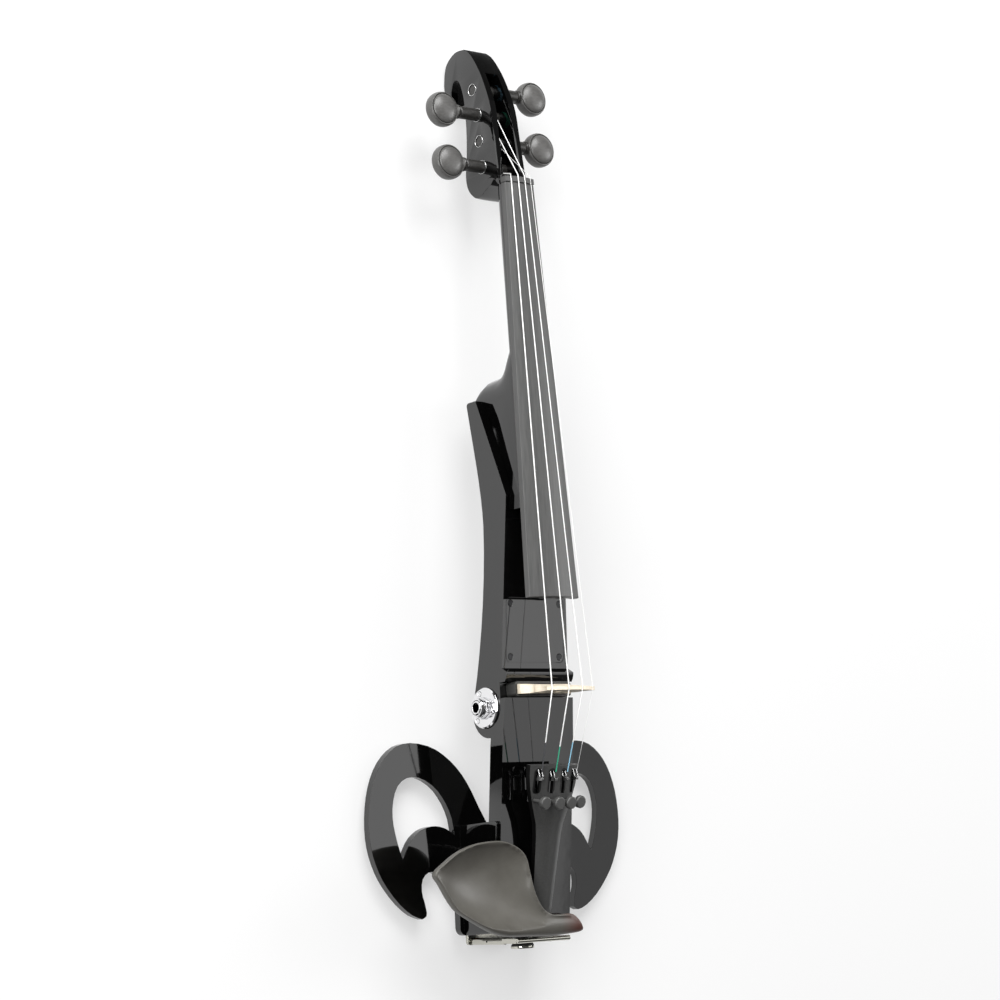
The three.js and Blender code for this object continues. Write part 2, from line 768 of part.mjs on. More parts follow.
function preampBoard() {
  const low = pocketFloor + gap;
  const top = low + boardThick;
  const plate = upward(roundedRect(boardWidth, boardLengthInPocket, coverCorner, 0, 0),
    low, top, planSteps);
  const parts = [
    block(chipSize, 2 * chipSize, boardThick, -boardWidth / 2 + chipSize, 0,
      top + boardThick / 2 - gap),
    block(socketSize, socketSize / 2, 2 * boardThick, -boardWidth / 4,
      2 * chipSize, top + boardThick - gap),
  ];
  return parts.reduce((whole, part) => whole.add(part), plate);
}
piece(onDeck, 'preamp_board', preampBoard(), circuit);
const cellBottom = pocketFloor + 2 * gap + boardThick;
const cell = rod(cellRadius, cellBottom, cellBottom + cellHeight, spinZ, midSides);
piece(onDeck, 'coin_cell', cell, steel).position.x = boardWidth / 2 - cellRadius - gap;

// Output jack on the bass flank, square to the tapered flank
const flankTurn = Math.atan(bodyTaper);
const jackMouth = new THREE.Vector3(-bodyHalf(jackFromNut), -jackFromNut, -jackDepth);
const onFlank = new THREE.Group();
onFlank.rotation.z = -flankTurn;
onFlank.position.copy(jackMouth);
instrument.add(onFlank);
const placedOnFlank = (body) => body
  .rotate([0, 0, -flankTurn * THREE.MathUtils.RAD2DEG]).translate(jackMouth.toArray());
const outward = (profile, segments) => turned(profile, spinX, segments).rotate([0, halfTurn, 0]);
const jackScrewDegrees = [100, 220, 340];
const jackScrewPlaces = jackScrewDegrees.map((degrees) => {
  const angle = THREE.MathUtils.degToRad(degrees);
  return [0, jackScrewCircle * Math.cos(angle), jackScrewCircle * Math.sin(angle)];
});

function jackPlate() {
  const rim = jackPlateThickness / 2;
  const disc = outward([[0, gap], [jackPlateRadius, gap], [jackPlateRadius, gap + rim],
    [jackPlateRadius - rim, gap + jackPlateThickness], [0, gap + jackPlateThickness]], bigSides);
  const hole = outward([[0, -overrun], [jackBarrelRadius + gap, -overrun],
    [jackBarrelRadius + gap, 2 * overrun], [0, 2 * overrun]], midSides);
  return jackScrewPlaces.reduce((rest, place) => rest.subtract(
    outward(screwCut(jackScrewRadius, jackScrewLength), tinySides)
      .translate([-gap - jackPlateThickness, 0, 0]).translate(place)), disc.subtract(hole));
}
piece(onFlank, 'jack_plate', jackPlate(), chrome);
jackScrewPlaces.forEach((place, i) => {
  const screw = outward(screwProfile(jackScrewRadius, jackScrewLength), tinySides);
  const mesh = piece(onFlank, `jack_screw_${i + 1}`, screw, chrome);
  mesh.position.set(-gap - jackPlateThickness, place[1], place[2]);
});

const nutFoot = 2 * gap + jackPlateThickness;
const noseFoot = nutFoot + jackNutThickness + gap;

function jackSocket() {
  const wall = jackBarrelRadius - jackBoreRadius;
  return outward([[0, -jackBarrelDepth], [jackBarrelRadius, -jackBarrelDepth],
    [jackBarrelRadius, jackNoseReach - wall / 2], [jackBarrelRadius - wall / 3, jackNoseReach],
    [jackBoreRadius, jackNoseReach], [jackBoreRadius, -jackBarrelDepth + wall],
    [0, -jackBarrelDepth + wall]], midSides);
}
piece(onFlank, 'jack_socket', jackSocket(), chrome);

function jackRing(outline, low, high) {
  const bore = outward([[0, low - overrun], [jackBarrelRadius + gap, low - overrun],
    [jackBarrelRadius + gap, high + overrun], [0, high + overrun]], midSides);
  return outline.subtract(bore);
}
const hexagon = outward([[0, nutFoot], [jackNutRadius, nutFoot],
  [jackNutRadius, nutFoot + jackNutThickness], [0, nutFoot + jackNutThickness]], hexSides);
piece(onFlank, 'jack_nut', jackRing(hexagon, nutFoot, nutFoot + jackNutThickness), chrome);
const noseEdge = (jackNoseReach - noseFoot) / 3;
const noseTop = jackNoseReach - noseEdge / 2;
const noseRound = outward([[0, noseFoot], [jackNoseRadius, noseFoot],
  [jackNoseRadius, noseTop - noseEdge], [jackNoseRadius - noseEdge / 2, noseTop], [0, noseTop]],
  midSides);
piece(onFlank, 'jack_ring', jackRing(noseRound, noseFoot, jackNoseReach), chrome);

// Body, cut for the heel, the cover, the pocket and the jack
function body() {
  let beam = across(bodySide(), 2 * bodyFullWidth).intersect(
    upward(bodyPlan(0), -2 * bulgeBackDepth, 0));
  beam = beam.subtract(heelMortise());
  const recess = upward(roundedRect(coverWidth + 2 * gap, coverLength + 2 * gap,
    coverCorner + gap, 0, 0), -coverThickness - gap, overrun);
  const pocket = upward(roundedRect(pocketWidth, pocketLength, coverCorner, 0, 0),
    pocketFloor, overrun);
  let cuts = recess.add(pocket);
  for (const [x, y] of coverScrewPlaces) {
    cuts = cuts.add(rod(screwShank(coverScrewRadius) + gap, -coverScrewLength - gap, 0, spinZ, smallSides)
      .translate([x, y, 0]));
  }
  beam = beam.subtract(placedOnDeck(cuts));
  let bores = outward([[0, -jackBarrelDepth - gap], [jackBarrelRadius + gap, -jackBarrelDepth - gap],
    [jackBarrelRadius + gap, overrun], [0, overrun]], midSides);
  for (const place of jackScrewPlaces) {
    const shank = screwShank(jackScrewRadius) + gap;
    bores = bores.add(outward([[0, -jackScrewLength], [shank, -jackScrewLength],
      [shank, overrun], [0, overrun]], tinySides).translate(place));
  }
  return beam.subtract(placedOnFlank(bores)).subtract(placedButtonShank(gap))
    .subtract(saddleBar(gap, overrun));
}

// End button: a flared knob whose shank is glued into the tail
const buttonBase = bodyEndFromNut + gap;

// Knob of the button: share of the flare beyond the neck, share of the reach
const buttonNeckShare = 0.29;
const buttonShares = [[0.35, 0], [0, 0.22], [0, 0.36], [0.5, 0.58], [1, 0.8], [1, 0.88],
  [0.43, 1]];

function buttonProfile() {
  const flare = buttonRadius - buttonNeckRadius;
  return [[0, -buttonShankLength], [buttonShankRadius, -buttonShankLength],
    [buttonShankRadius, 0],
    ...buttonShares.map(([out, along]) => [buttonNeckRadius + out * flare, along * buttonReach]),
    [0, buttonReach]];
}

function placedButtonShank(grow) {
  const shank = rod(buttonShankRadius + grow, -buttonShankLength - grow, buttonReach, spinY, midSides);
  return shank.rotate([halfTurn, 0, 0]).translate([0, -buttonBase, -buttonDepth]);
}

// End block: a cradle under the tail of the body, level at its foot for the wing plate
const wingTopDepth = lowerDeck(wingDatumFromNut) + plateThickness + blockHeight;
const wingTop = (fromNut) => wingTopDepth + Math.tan(lie) * (fromNut - wingDatumFromNut);

function endBlock() {
  const start = -blockFromNut;
  const end = -bodyEndFromNut;
  const side = new THREE.Shape();
  side.moveTo(start, -lowerDeck(blockFromNut) - blockSideDrop - cornerRadius / 2);
  side.quadraticCurveTo(start, -lowerDeck(blockFromNut) - blockSideDrop,
    start - cornerRadius / 2, -lowerDeck(blockFromNut) - blockSideDrop);
  side.lineTo(end, -lowerDeck(bodyEndFromNut) - blockSideDrop);
  side.lineTo(end, -wingTop(bodyEndFromNut) + gap);
  side.lineTo(start, -wingTop(blockFromNut) + gap);
  const flange = (blockWidth - bodyFullWidth) / 2;
  let cradle = across(side, 2 * blockWidth).intersect(
    upward(bodyPlan(flange), -2 * wingTopDepth, 0));
  const floorAt = (y) => -lowerDeck(-y) - plateThickness - gap;
  const seat = polygon([[start + overrun, floorAt(start + overrun)], [start + overrun, 0],
    [end - overrun, 0], [end - overrun, floorAt(end - overrun)]]);
  cradle = cradle.subtract(across(seat, bodyFullWidth + 2 * gap));
  for (const [x, y] of wingScrewPlaces) {
    const reach = rod(screwShank(wingScrewHeadRadius) + gap, -wingScrewLength - gap, 0, spinZ, smallSides);
    cradle = cradle.subtract(fromLevel(reach.rotate([halfTurn, 0, 0])
      .translate([x, y, wingPlateLow])));
  }
  return cradle.subtract(placedButtonShank(gap));
}

// Wing plate: one flat plate, level when the instrument lies on its back
const wingGroup = new THREE.Group();
violin.add(wingGroup);
const tailLevel = level(-bodyEndFromNut, -wingTop(bodyEndFromNut));
const wingTail = tailLevel.y;
const wingPlateHigh = tailLevel.z;
const wingPlateLow = wingPlateHigh - wingThickness;
const wingScrewPlaces = [[-1, 0], [1, 0], [-1, 1], [1, 1]].map(([side, along]) =>
  [side * wingScrewSpread / 2, wingTail + wingScrewInset() + along * wingScrewPitch]);

function wingScrewInset() {
  return (bodyEndFromNut - blockFromNut - wingScrewPitch) / 2;
}

function fromLevel(body) {
  return body.rotate([lieDegrees, 0, 0]);
}

// Bass half of the wing outline in shares of half the span and of the reach from the tail
const wingTopShares = [[0, 0.5], [0.1, 0.59], [0.208, 0.754], [0.284, 0.844], [0.379, 0.918],
  [0.5, 0.976], [0.644, 1], [0.76, 0.987], [0.85, 0.937], [0.918, 0.866], [0.967, 0.77],
  [0.993, 0.665], [1, 0.555], [0.985, 0.454], [0.947, 0.361], [0.893, 0.28], [0.8, 0.187],
  [0.705, 0.124], [0.625, 0.098]];
const wingHookShares = [[0.588, 0.116], [0.597, 0.17], [0.618, 0.235], [0.608, 0.3],
  [0.554, 0.336], [0.49, 0.322], [0.42, 0.27], [0.37, 0.2]];
const wingHoleShares = [[0.754, 0.408], [0.789, 0.492], [0.816, 0.6], [0.812, 0.69],
  [0.775, 0.775], [0.7, 0.82], [0.6, 0.819], [0.492, 0.77], [0.417, 0.697], [0.367, 0.61],
  [0.35, 0.522]];
const wingHumpShares = [[0.41, 0.553], [0.48, 0.569], [0.55, 0.566], [0.62, 0.546],
  [0.69, 0.499], [0.754, 0.408]];

const tabShare = 0.15;

function wingOutline() {
  const shape = new THREE.Shape();
  const half = wingSpan / 2;
  const tab = wingTabWidth / 2;
  const place = (side) => ([x, y]) => new THREE.Vector2(side * x * half, wingTail + y * wingReach);
  const bass = [...wingTopShares.slice(1)];
  shape.moveTo(0, wingTail + wingTopShares[0][1] * wingReach);
  shape.splineThru(bass.map(place(-1)));
  shape.splineThru(wingHookShares.map(place(-1)));
  shape.lineTo(-tab, wingTail + tabShare * wingReach);
  shape.absarc(-tab + cornerRadius, wingTail + cornerRadius, cornerRadius, Math.PI, 1.5 * Math.PI);
  shape.absarc(tab - cornerRadius, wingTail + cornerRadius, cornerRadius,
    1.5 * Math.PI, 2 * Math.PI);
  shape.lineTo(tab, wingTail + tabShare * wingReach);
  shape.splineThru([...wingHookShares].reverse().map(place(1)));
  shape.splineThru([...bass].reverse().map(place(1)));
  shape.lineTo(0, wingTail + wingTopShares[0][1] * wingReach);
  for (const side of [-1, 1]) {
    const hole = new THREE.Path();
    const [first, ...rest] = wingHoleShares.map(place(side));
    hole.moveTo(first.x, first.y);
    hole.splineThru(rest);
    hole.splineThru(wingHumpShares.map(place(side)));
    shape.holes.push(hole);
  }
  return shape;
}

function wingPlate() {
  const plate = upward(wingOutline(), wingPlateLow, wingPlateHigh, planSteps);
  return wingScrewPlaces.reduce((rest, [x, y]) => rest.subtract(
    turned(screwCut(wingScrewHeadRadius, wingScrewLength), spinZ, smallSides)
      .rotate([halfTurn, 0, 0]).translate([x, y, wingPlateLow])), plate);
}

piece(instrument, 'body', body(), wood);
piece(instrument, 'end_block', endBlock(), wood);
piece(wingGroup, 'wing_plate', wingPlate(), wood);
wingScrewPlaces.forEach(([x, y], i) => {
  const screw = turned(screwProfile(wingScrewHeadRadius, wingScrewLength), spinZ, smallSides);
  const mesh = piece(wingGroup, `wing_screw_${i + 1}`, screw.rotate([halfTurn, 0, 0]), blackSteel);
  mesh.position.set(x, y, wingPlateLow);
});
piece(instrument, 'end_button', turned(buttonProfile(), spinY, midSides).rotate([halfTurn, 0, 0])
  .translate([0, -buttonBase, -buttonDepth]), ebony);

// Pegs: a tapered shank through both cheeks, a collar and a flat round head,
// drawn in shares of the head radius and of half its thickness
const pegHeadShares = [[1, 0.2], [0.95, 0.47], [0.82, 0.68], [0.6, 0.86], [0.32, 0.97]];

function peg(fromNut) {
  const reach = headHalf(fromNut) + gap;
  const shankRadius = (x) => pegThinRadius
    + (pegThickRadius - pegThinRadius) * (x + headRootWidth) / (2 * headRootWidth);
  const collarStart = pegCollarReach - pegCollarLength;
  const edge = pegCollarLength / 4;
  const headRoot = pegHeadReach - pegHeadRadius + pegCollarLength;
  const shank = turned([[0, -reach], [shankRadius(-reach), -reach],
    [shankRadius(collarStart), collarStart], [pegCollarRadius, collarStart + edge],
    [pegCollarRadius, pegCollarReach - edge], [pegWaistRadius, pegCollarReach],
    [pegWaistRadius, headRoot], [0, pegHeadReach]], spinX, smallSides);
  const face = pegHeadThickness / 2;
  const half = pegHeadShares.map(([out, up]) => [out * pegHeadRadius, up * face]);
  const profile = [[0, -face], ...half.map(([r, h]) => [r, -h]).reverse(), ...half, [0, face]];
  return shank.add(turned(profile, spinZ, midSides).translate([pegHeadReach, 0, 0]));
}

function windingRadius(name) {
  return pegThickRadius + gap + stringRadii[name];
}

// The turns of a string on its peg: one unbroken tube
class Coil extends THREE.Curve {
  constructor(radius, start, way) {
    super();
    Object.assign(this, { radius, start, way });
  }

  getPoint(share, target = new THREE.Vector3()) {
    const angle = Math.PI / 2 + share * windingTurns * 2 * Math.PI;
    return target.set(this.start + this.way * share * windingTurns * windingPitch,
      this.radius * Math.cos(angle), this.radius * Math.sin(angle));
  }
}

function winding(name) {
  const coil = new Coil(windingRadius(name), windingStart[name], windingWay[name]);
  return solid(new THREE.ExtrudeGeometry(wireSection(stringRadii[name]),
    { steps: windingTurns * windingSteps, bevelEnabled: false, extrudePath: coil }));
}

stringNames.forEach((name) => {
  const place = pegPlaces[name];
  const group = new THREE.Group();
  group.position.set(0, place.fromNut, -place.depth);
  instrument.add(group);
  const turn = place.side > 0 ? 0 : halfTurn;
  piece(group, `peg_${name}`, peg(place.fromNut).rotate([0, turn, 0]), ebony);
  piece(group, `winding_${name}`, winding(name), silk);
});
const loosest = Math.max(...Object.values(stringRadii));
console.log('least gap between turns of a winding', (windingPitch - 2 * loosest).toFixed(2));

// Tailpiece, in its own frame: x across, y back towards the bridge, z off its edges
const tailTilt = Math.atan(tailpieceSlope);
const crownFullness = 1.8;
const tunerShare = tailSpread / tailpieceTopWidth;
const onTailpiece = new THREE.Group();
onTailpiece.rotation.x = tailTilt;
onTailpiece.position.set(0, -tailpieceFromNut, -tailpieceEdgeDepth);
instrument.add(onTailpiece);
const fromTailpiece = (x, along, rise) => {
  const y = -along * Math.cos(tailTilt) - rise * Math.sin(tailTilt);
  const z = -along * Math.sin(tailTilt) + rise * Math.cos(tailTilt);
  return [x, y - tailpieceFromNut, z - tailpieceEdgeDepth];
};
// Along the tailpiece: share of its length, share of its half width, share of its crown
const tailpieceShares = [[0, 1, 1], [0.07, 0.985, 1], [0.14, 0.935, 1], [0.2, 0.86, 1],
  [0.27, 0.765, 0.96], [0.33, 0.66, 0.93], [0.39, 0.565, 0.9], [0.47, 0.51, 0.88],
  [0.7, 0.45, 0.85], [1, 0.4, 0.8]];

function tailpieceRing([along, width, rise], inset, floor) {
  const half = width * tailpieceTopWidth / 2 - inset;
  const crest = tailpieceCrown * rise - inset;
  const y = -along * tailpieceLength;
  const ring = [[-half, y, floor], [half, y, floor]];
  for (let i = 0; i <= arcSteps; i += 1) {
    const share = 1 - (2 * i) / arcSteps;
    ring.push([half * share, y, crest * (1 - Math.abs(share) ** crownFullness)]);
  }
  return ring;
}

const tunerX = (i) => tailSpread * stringShares[i];
const crownAt = (i) =>
  tailpieceCrown * (1 - Math.abs(2 * stringShares[i] * tunerShare) ** crownFullness);
const leverPivotAlong = slotInset + leverPivotInset;
const leverPivotRise = -tailpieceEdge / 4;
const axleReach = tailpieceTopWidth / 2 - 2 * axleRadius;

function tailpiece() {
  const outer = loft(tailpieceShares.map((row) => tailpieceRing(row, 0, -tailpieceEdge)));
  const inner = loft(tailpieceShares.slice(0, -2).map((row) =>
    tailpieceRing(row, tailpieceShell, -tailpieceEdge - overrun)));
  let shell = outer.subtract(inner.translate([0, -tailpieceShell, 0]));
  for (let i = 0; i < stringNames.length; i += 1) {
    const slot = block(slotWidth, slotLength, tailpieceTopWidth,
      tunerX(i), -slotInset - slotLength / 2, 0);
    const hole = rod(tunerShaftRadius + gap, -tailpieceTopWidth, tailpieceTopWidth, spinZ, smallSides);
    shell = shell.subtract(slot).subtract(hole.translate([tunerX(i), -tunerFromTop, 0]));
  }
  const bore = rod(axleRadius + gap, -axleReach - gap, axleReach + gap, spinX, tinySides);
  shell = shell.subtract(bore.translate([0, -leverPivotAlong, leverPivotRise]));
  for (const side of [-1, 1]) {
    const gut = rod(tailgutRadius + gap, -overrun, tailgutSeat + overrun, spinY, tinySides);
    shell = shell.subtract(gut
      .translate([side * tailgutSpread / 2, -tailpieceLength, -tailpieceEdge / 4]));
  }
  return shell;
}
piece(onTailpiece, 'tailpiece', tailpiece(), ebony);
const axle = rod(axleRadius, -axleReach, axleReach, spinX, tinySides);
piece(onTailpiece, 'tuner_axle', axle, steel).position.set(0, -leverPivotAlong, leverPivotRise);

// Fine tuners: a fork lever on the axle, its arm under the tailpiece pressed by a knurled screw
const armTop = -tailpieceEdge - 2 * gap;

function lever(i) {
  const fork = crownAt(i) + leverRise;
  const front = leverPivotAlong - slotInset - gap - leverThickness;
  const back = -slotLength / 2 + gap;
  const armEnd = leverPivotAlong - tunerFromTop - leverThickness;
  const side = polygon([[front, armTop], [front / 2, fork], [front / 8, fork],
    [-front / 3, armTop + leverDepth], [back, armTop], [armEnd, armTop],
    [armEnd, armTop - leverThickness], [front / 2, armTop - leverThickness],
  ].map(([y, z]) => [y, z - leverPivotRise]));
  const bore = rod(axleRadius + gap, -overrun, overrun, spinX, tinySides);
  return across(side, leverThickness).subtract(bore);
}

function tunerScrew(i) {
  const fork = crownAt(i);
  const top = fork + tunerReach;
  const edge = tunerKnobThickness / 5;
  return turned([[0, armTop + gap], [tunerShaftRadius, armTop + gap],
    [tunerShaftRadius, top - tunerKnobThickness - edge],
    [(tunerShaftRadius + tunerKnobRadius) / 3, top - tunerKnobThickness],
    [tunerKnobRadius - edge, top - tunerKnobThickness],
    [tunerKnobRadius, top - tunerKnobThickness + edge], [tunerKnobRadius, top - edge],
    [tunerKnobRadius - edge, top], [0, top]], spinZ, smallSides);
}

stringNames.forEach((name, i) => {
  piece(onTailpiece, `tuner_lever_${name}`, lever(i), steel)
    .position.set(tunerX(i), -leverPivotAlong, leverPivotRise);
  piece(onTailpiece, `tuner_screw_${name}`, tunerScrew(i), blackSteel)
    .position.set(tunerX(i), -tunerFromTop, 0);
});

// Strings: off the winding, over nut and bridge, down to the fork of the lever
function stringRoute(name, i) {
  const place = pegPlaces[name];
  const radius = windingRadius(name);
  const run = radius - stringRadii[name];
  const forkRise = crownAt(i) + leverRise;
  const nutPoint = stringAtNut(i);
  return [
    [windingStart[name], place.fromNut - run, -place.depth + radius],
    [nutPoint[0], nutThickness, nutPoint[2] - gap],
    nutPoint,
    stringAtBridge(i),
    fromTailpiece(tunerX(i), slotInset + gap, forkRise - stringRadii[name] - leverThickness / 2),
  ];
}
stringNames.forEach((name, i) => {
  piece(instrument, `string_${name}`, strand(stringRoute(name, i), stringRadii[name]), steel);
});

// Nut: a small crowned block with a groove for each string
function nut() {
  const half = boardNutWidth / 2;
  const lowest = boardBottomDepth;
  const outline = [[-half, -lowest], [half, -lowest]];
  for (let i = 0; i <= arcSteps; i += 1) {
    const x = half * (1 - (2 * i) / arcSteps);
    outline.push([x, crown(half, x, boardRadius) - boardEdgeDepth + nutRise]);
  }
  const bar = tailward(polygon(outline), nutThickness + gap, nutThickness);
  return stringNames.reduce((rest, name, i) => rest.subtract(
    strand(stringRoute(name, i).slice(0, 4), stringRadii[name] + gap)), bar);
}
piece(instrument, 'nut', nut(), ebony);

// Pickup base: a low tray in the channel that holds the foot of the bridge
const channelMiddle = channelFromNut + channelWidth / 2;
const trayWall = (pickupWidth - bridgeFootThickness) / 2 - gap;

function pickupBase() {
  const outline = roundedRect(pickupLength, pickupWidth, pickupCorner, 0, -channelMiddle);
  const inside = roundedRect(pickupLength - 2 * trayWall, pickupWidth - 2 * trayWall,
    pickupCorner - trayWall / 2, 0, -channelMiddle);
  return upward(outline, -channelFloor + gap, -pickupTopDepth, cornerSteps)
    .subtract(upward(inside, -pickupTopDepth - trayWall, overrun, cornerSteps));
}
piece(instrument, 'pickup_base', pickupBase(), moulded);

// Bridge: a maple plate with two feet, thinning to its crowned top. Its side, arch and
// openings are shares of the half width of the feet and of the height
const bridgeSideShares = [[1, 0.11], [0.72, 0.2], [0.74, 0.36], [0.92, 0.46], [0.8, 0.62],
  [0.78, 0.8]];
const bridgeArchShares = [[0.46, 0], [0.44, 0.24]];
const kidneyShares = { out: 0.52, up: 0.42, half: 0.13, rise: 0.08 };
const heartShares = { out: 0, up: 0.55, half: 0.12, rise: 0.1 };

function bridgeOutline(foot, height) {
  const half = bridgeFootWidth / 2;
  const top = bridgeTopWidth / 2;
  const placed = ([out, up]) => [out * half, foot + up * height];
  const mirrored = ([out, up]) => [-out, up];
  const [toe, ankle, shin, knee, hip, shoulder] = bridgeSideShares.map(placed);
  const [inner, arch] = bridgeArchShares.map(placed);
  const shape = new THREE.Shape();
  shape.moveTo(-half, foot);
  shape.lineTo(...mirrored(toe));
  shape.quadraticCurveTo(...mirrored(ankle), ...mirrored(shin));
  shape.quadraticCurveTo(...mirrored(knee), ...mirrored(hip));
  shape.quadraticCurveTo(...mirrored(shoulder), -top, foot + height);
  for (let i = 1; i <= roundSteps; i += 1) {
    const x = top * ((2 * i) / roundSteps - 1);
    shape.lineTo(x, bridgeTopArc(x));
  }
  shape.quadraticCurveTo(...shoulder, ...hip);
  shape.quadraticCurveTo(...knee, ...shin);
  shape.quadraticCurveTo(...ankle, ...toe);
  shape.lineTo(half, foot);
  shape.lineTo(...inner);
  shape.bezierCurveTo(...arch, ...mirrored(arch), ...mirrored(inner));
  const opening = (shares, side) => {
    const hole = new THREE.Path();
    const [x, y] = placed([side * shares.out, shares.up]);
    hole.absellipse(x, y, shares.half * half, shares.rise * height, 0, 2 * Math.PI);
    return hole;
  };
  shape.holes.push(opening(kidneyShares, -1), opening(kidneyShares, 1), opening(heartShares, 1));
  return shape;
}

function bridge() {
  const foot = -pickupTopDepth - trayWall + gap;
  const shape = bridgeOutline(foot, bridgeTopArc(bridgeTopWidth / 2) - foot);
  const start = -channelMiddle + bridgeFootThickness / 2;
  const slab = tailward(shape, start, stringLength - channelMiddle + bridgeFootThickness * 2,
    loopSteps);
  const frontTop = -stringLength + bridgeTopThickness / 2;
  const backTop = -stringLength - bridgeTopThickness / 2;
  const wedge = polygon([[start, foot - overrun], [start, foot], [frontTop, bridgeTopArc(0)],
    [frontTop, bridgeTopArc(0) + overrun], [backTop, bridgeTopArc(0) + overrun],
    [start - bridgeFootThickness, foot], [start - bridgeFootThickness, foot - overrun]]);
  const plate = slab.intersect(across(wedge, 2 * bridgeFootWidth));
  return stringNames.reduce((rest, name, i) => {
    const groove = strand(stringRoute(name, i).slice(2), stringRadii[name] + gap);
    return rest.subtract(groove);
  }, plate);
}
piece(instrument, 'bridge', bridge(), maple);

// Saddle: a low bar let into the tail edge of the deck
function saddleBar(grow, reach) {
  const end = -bodyEndFromNut;
  const low = -lowerDeck(bodyEndFromNut) - saddleInset;
  const high = -lowerDeck(bodyEndFromNut) + saddleRise;
  const edge = saddleThickness / 3;
  const side = polygon([[end + saddleThickness + grow, low - grow],
    [end + saddleThickness + grow, high - edge / 2], [end + saddleThickness - edge / 2, high],
    [end + edge, high], [end - reach, high - edge], [end - reach, low - grow]]);
  return across(side, saddleWidth + 2 * grow);
}
piece(instrument, 'saddle', saddleBar(0, 0), ebony);

// Tailgut: from the tailpiece over the saddle and round the neck of the end button
const saddleTop = -lowerDeck(bodyEndFromNut) + saddleRise;
const tailgutSteps = 34;

function tailgutRoute() {
  const half = tailgutSpread / 2;
  const over = saddleTop + tailgutRadius + 2 * gap;
  const behind = -bodyEndFromNut - tailgutRadius - 2 * gap;
  const neckY = -buttonBase - buttonReach * buttonNeckShare;
  const loop = buttonNeckRadius + tailgutRadius + gap;
  const rise = -tailpieceEdge / 4;
  const way = (side) => [
    fromTailpiece(side * half, tailpieceLength - tailgutSeat, rise),
    fromTailpiece(side * half, tailpieceLength, rise),
    [side * half, -bodyEndFromNut + saddleThickness / 2, over],
    [side * half, -bodyEndFromNut + tailgutRadius / 2, over - gap],
    [side * half, behind, saddleTop - saddleThickness / 2],
    [side * (half + loop) / 2, behind, (saddleTop - buttonDepth) / 2],
  ];
  const under = Array.from({ length: loopSteps + 1 }, (_, i) => {
    const angle = Math.PI * (1 + i / loopSteps);
    return [loop * Math.cos(angle), neckY, -buttonDepth + loop * Math.sin(angle)];
  });
  return [...way(-1), ...under, ...way(1).reverse()];
}
piece(instrument, 'tailgut', tube(tailgutRoute(), tailgutRadius, tailgutSteps), fibre);

// Chinrest outline in shares of its length from the treble end and of its width from the tail
const chinShares = [[1, 0.7], [0.923, 0.815], [0.835, 0.911], [0.721, 0.978], [0.584, 1],
  [0.5, 0.972], [0.429, 0.901], [0.39, 0.803], [0.374, 0.649], [0.352, 0.457], [0.311, 0.303],
  [0.251, 0.228], [0.175, 0.214], [0.083, 0.217], [0.033, 0.162], [0, 0.073], [0.008, 0.026],
  [0.107, 0.01], [0.231, 0], [0.36, 0.008], [0.499, 0.046], [0.618, 0.126], [0.736, 0.212],
  [0.826, 0.334], [0.893, 0.452], [0.958, 0.586]];
const cupShares = [[0.988, 0.697], [0.909, 0.805], [0.826, 0.887], [0.719, 0.95], [0.587, 0.97],
  [0.504, 0.944], [0.44, 0.874], [0.405, 0.783], [0.39, 0.639], [0.376, 0.44], [0.339, 0.275],
  [0.306, 0.159], [0.364, 0.068], [0.499, 0.083], [0.612, 0.159], [0.727, 0.245], [0.818, 0.368],
  [0.884, 0.48], [0.947, 0.603]];
const chinPlace = ([along, over]) =>
  [chinReach - along * chinLength, -chinTailFromNut + over * chinWidth];
const chinSides = 60;
const cupSides = 36;
// Rings of the cup: share of the outline, share of the depth
const dishShares = [[1, 0], [0.96, 0.16], [0.88, 0.4], [0.74, 0.66], [0.55, 0.86], [0.33, 0.96],
  [0.12, 1]];

function closedCurve(points, count) {
  const curve = new THREE.CatmullRomCurve3(points.map(([x, y]) => new THREE.Vector3(x, y, 0)),
    true, 'centripetal');
  return curve.getSpacedPoints(count).slice(0, count).map(({ x, y }) => [x, y]);
}

function cupHollow() {
  const outline = closedCurve(cupShares.map(chinPlace), cupSides);
  const middle = [0, 1].map((axis) =>
    outline.reduce((sum, point) => sum + point[axis], 0) / outline.length);
  const ringAt = (share, z) => outline.map(([x, y]) =>
    [middle[0] + (x - middle[0]) * share, middle[1] + (y - middle[1]) * share, z]);
  const rings = dishShares.map(([share, down]) => ringAt(share, -chinRimDepth - down * cupDepth));
  return loft([ringAt(1, overrun - chinRimDepth), ...rings].reverse());
}

// Belly of the chinrest from the bottom up: share of the way to the spine, share of the height
const bellyShares = [[0.74, 0], [0.62, 0.12], [0.43, 0.36], [0.22, 0.62], [0.07, 0.8], [0, 0.87]];

const chinFeet = [-1, 1].map((side) => {
  const x = side * (chinFootInner + chinFootWidth / 2);
  const y = -chinFootEndFromNut + chinFootLength / 2;
  return roundedRect(chinFootWidth, chinFootLength, corkThickness, x, y);
});

// The contour drawn towards a spine through the cup and along the arm
const chinSpineShares = [[0.8, 0.66], [0.6, 0.6], [0.42, 0.3], [0.08, 0.11]];
const chinSpine = chinSpineShares.map(chinPlace);

function nearestOnSpine(x, y) {
  const place = new THREE.Vector3(x, y, 0);
  const nearest = new THREE.Vector3();
  let best = Infinity;
  for (let i = 1; i < chinSpine.length; i += 1) {
    const stretch = new THREE.Line3(new THREE.Vector3(...chinSpine[i - 1], 0),
      new THREE.Vector3(...chinSpine[i], 0));
    const found = stretch.closestPointToPoint(place, true, new THREE.Vector3());
    if (found.distanceTo(place) < best) {
      best = found.distanceTo(place);
      nearest.copy(found);
    }
  }
  return nearest;
}

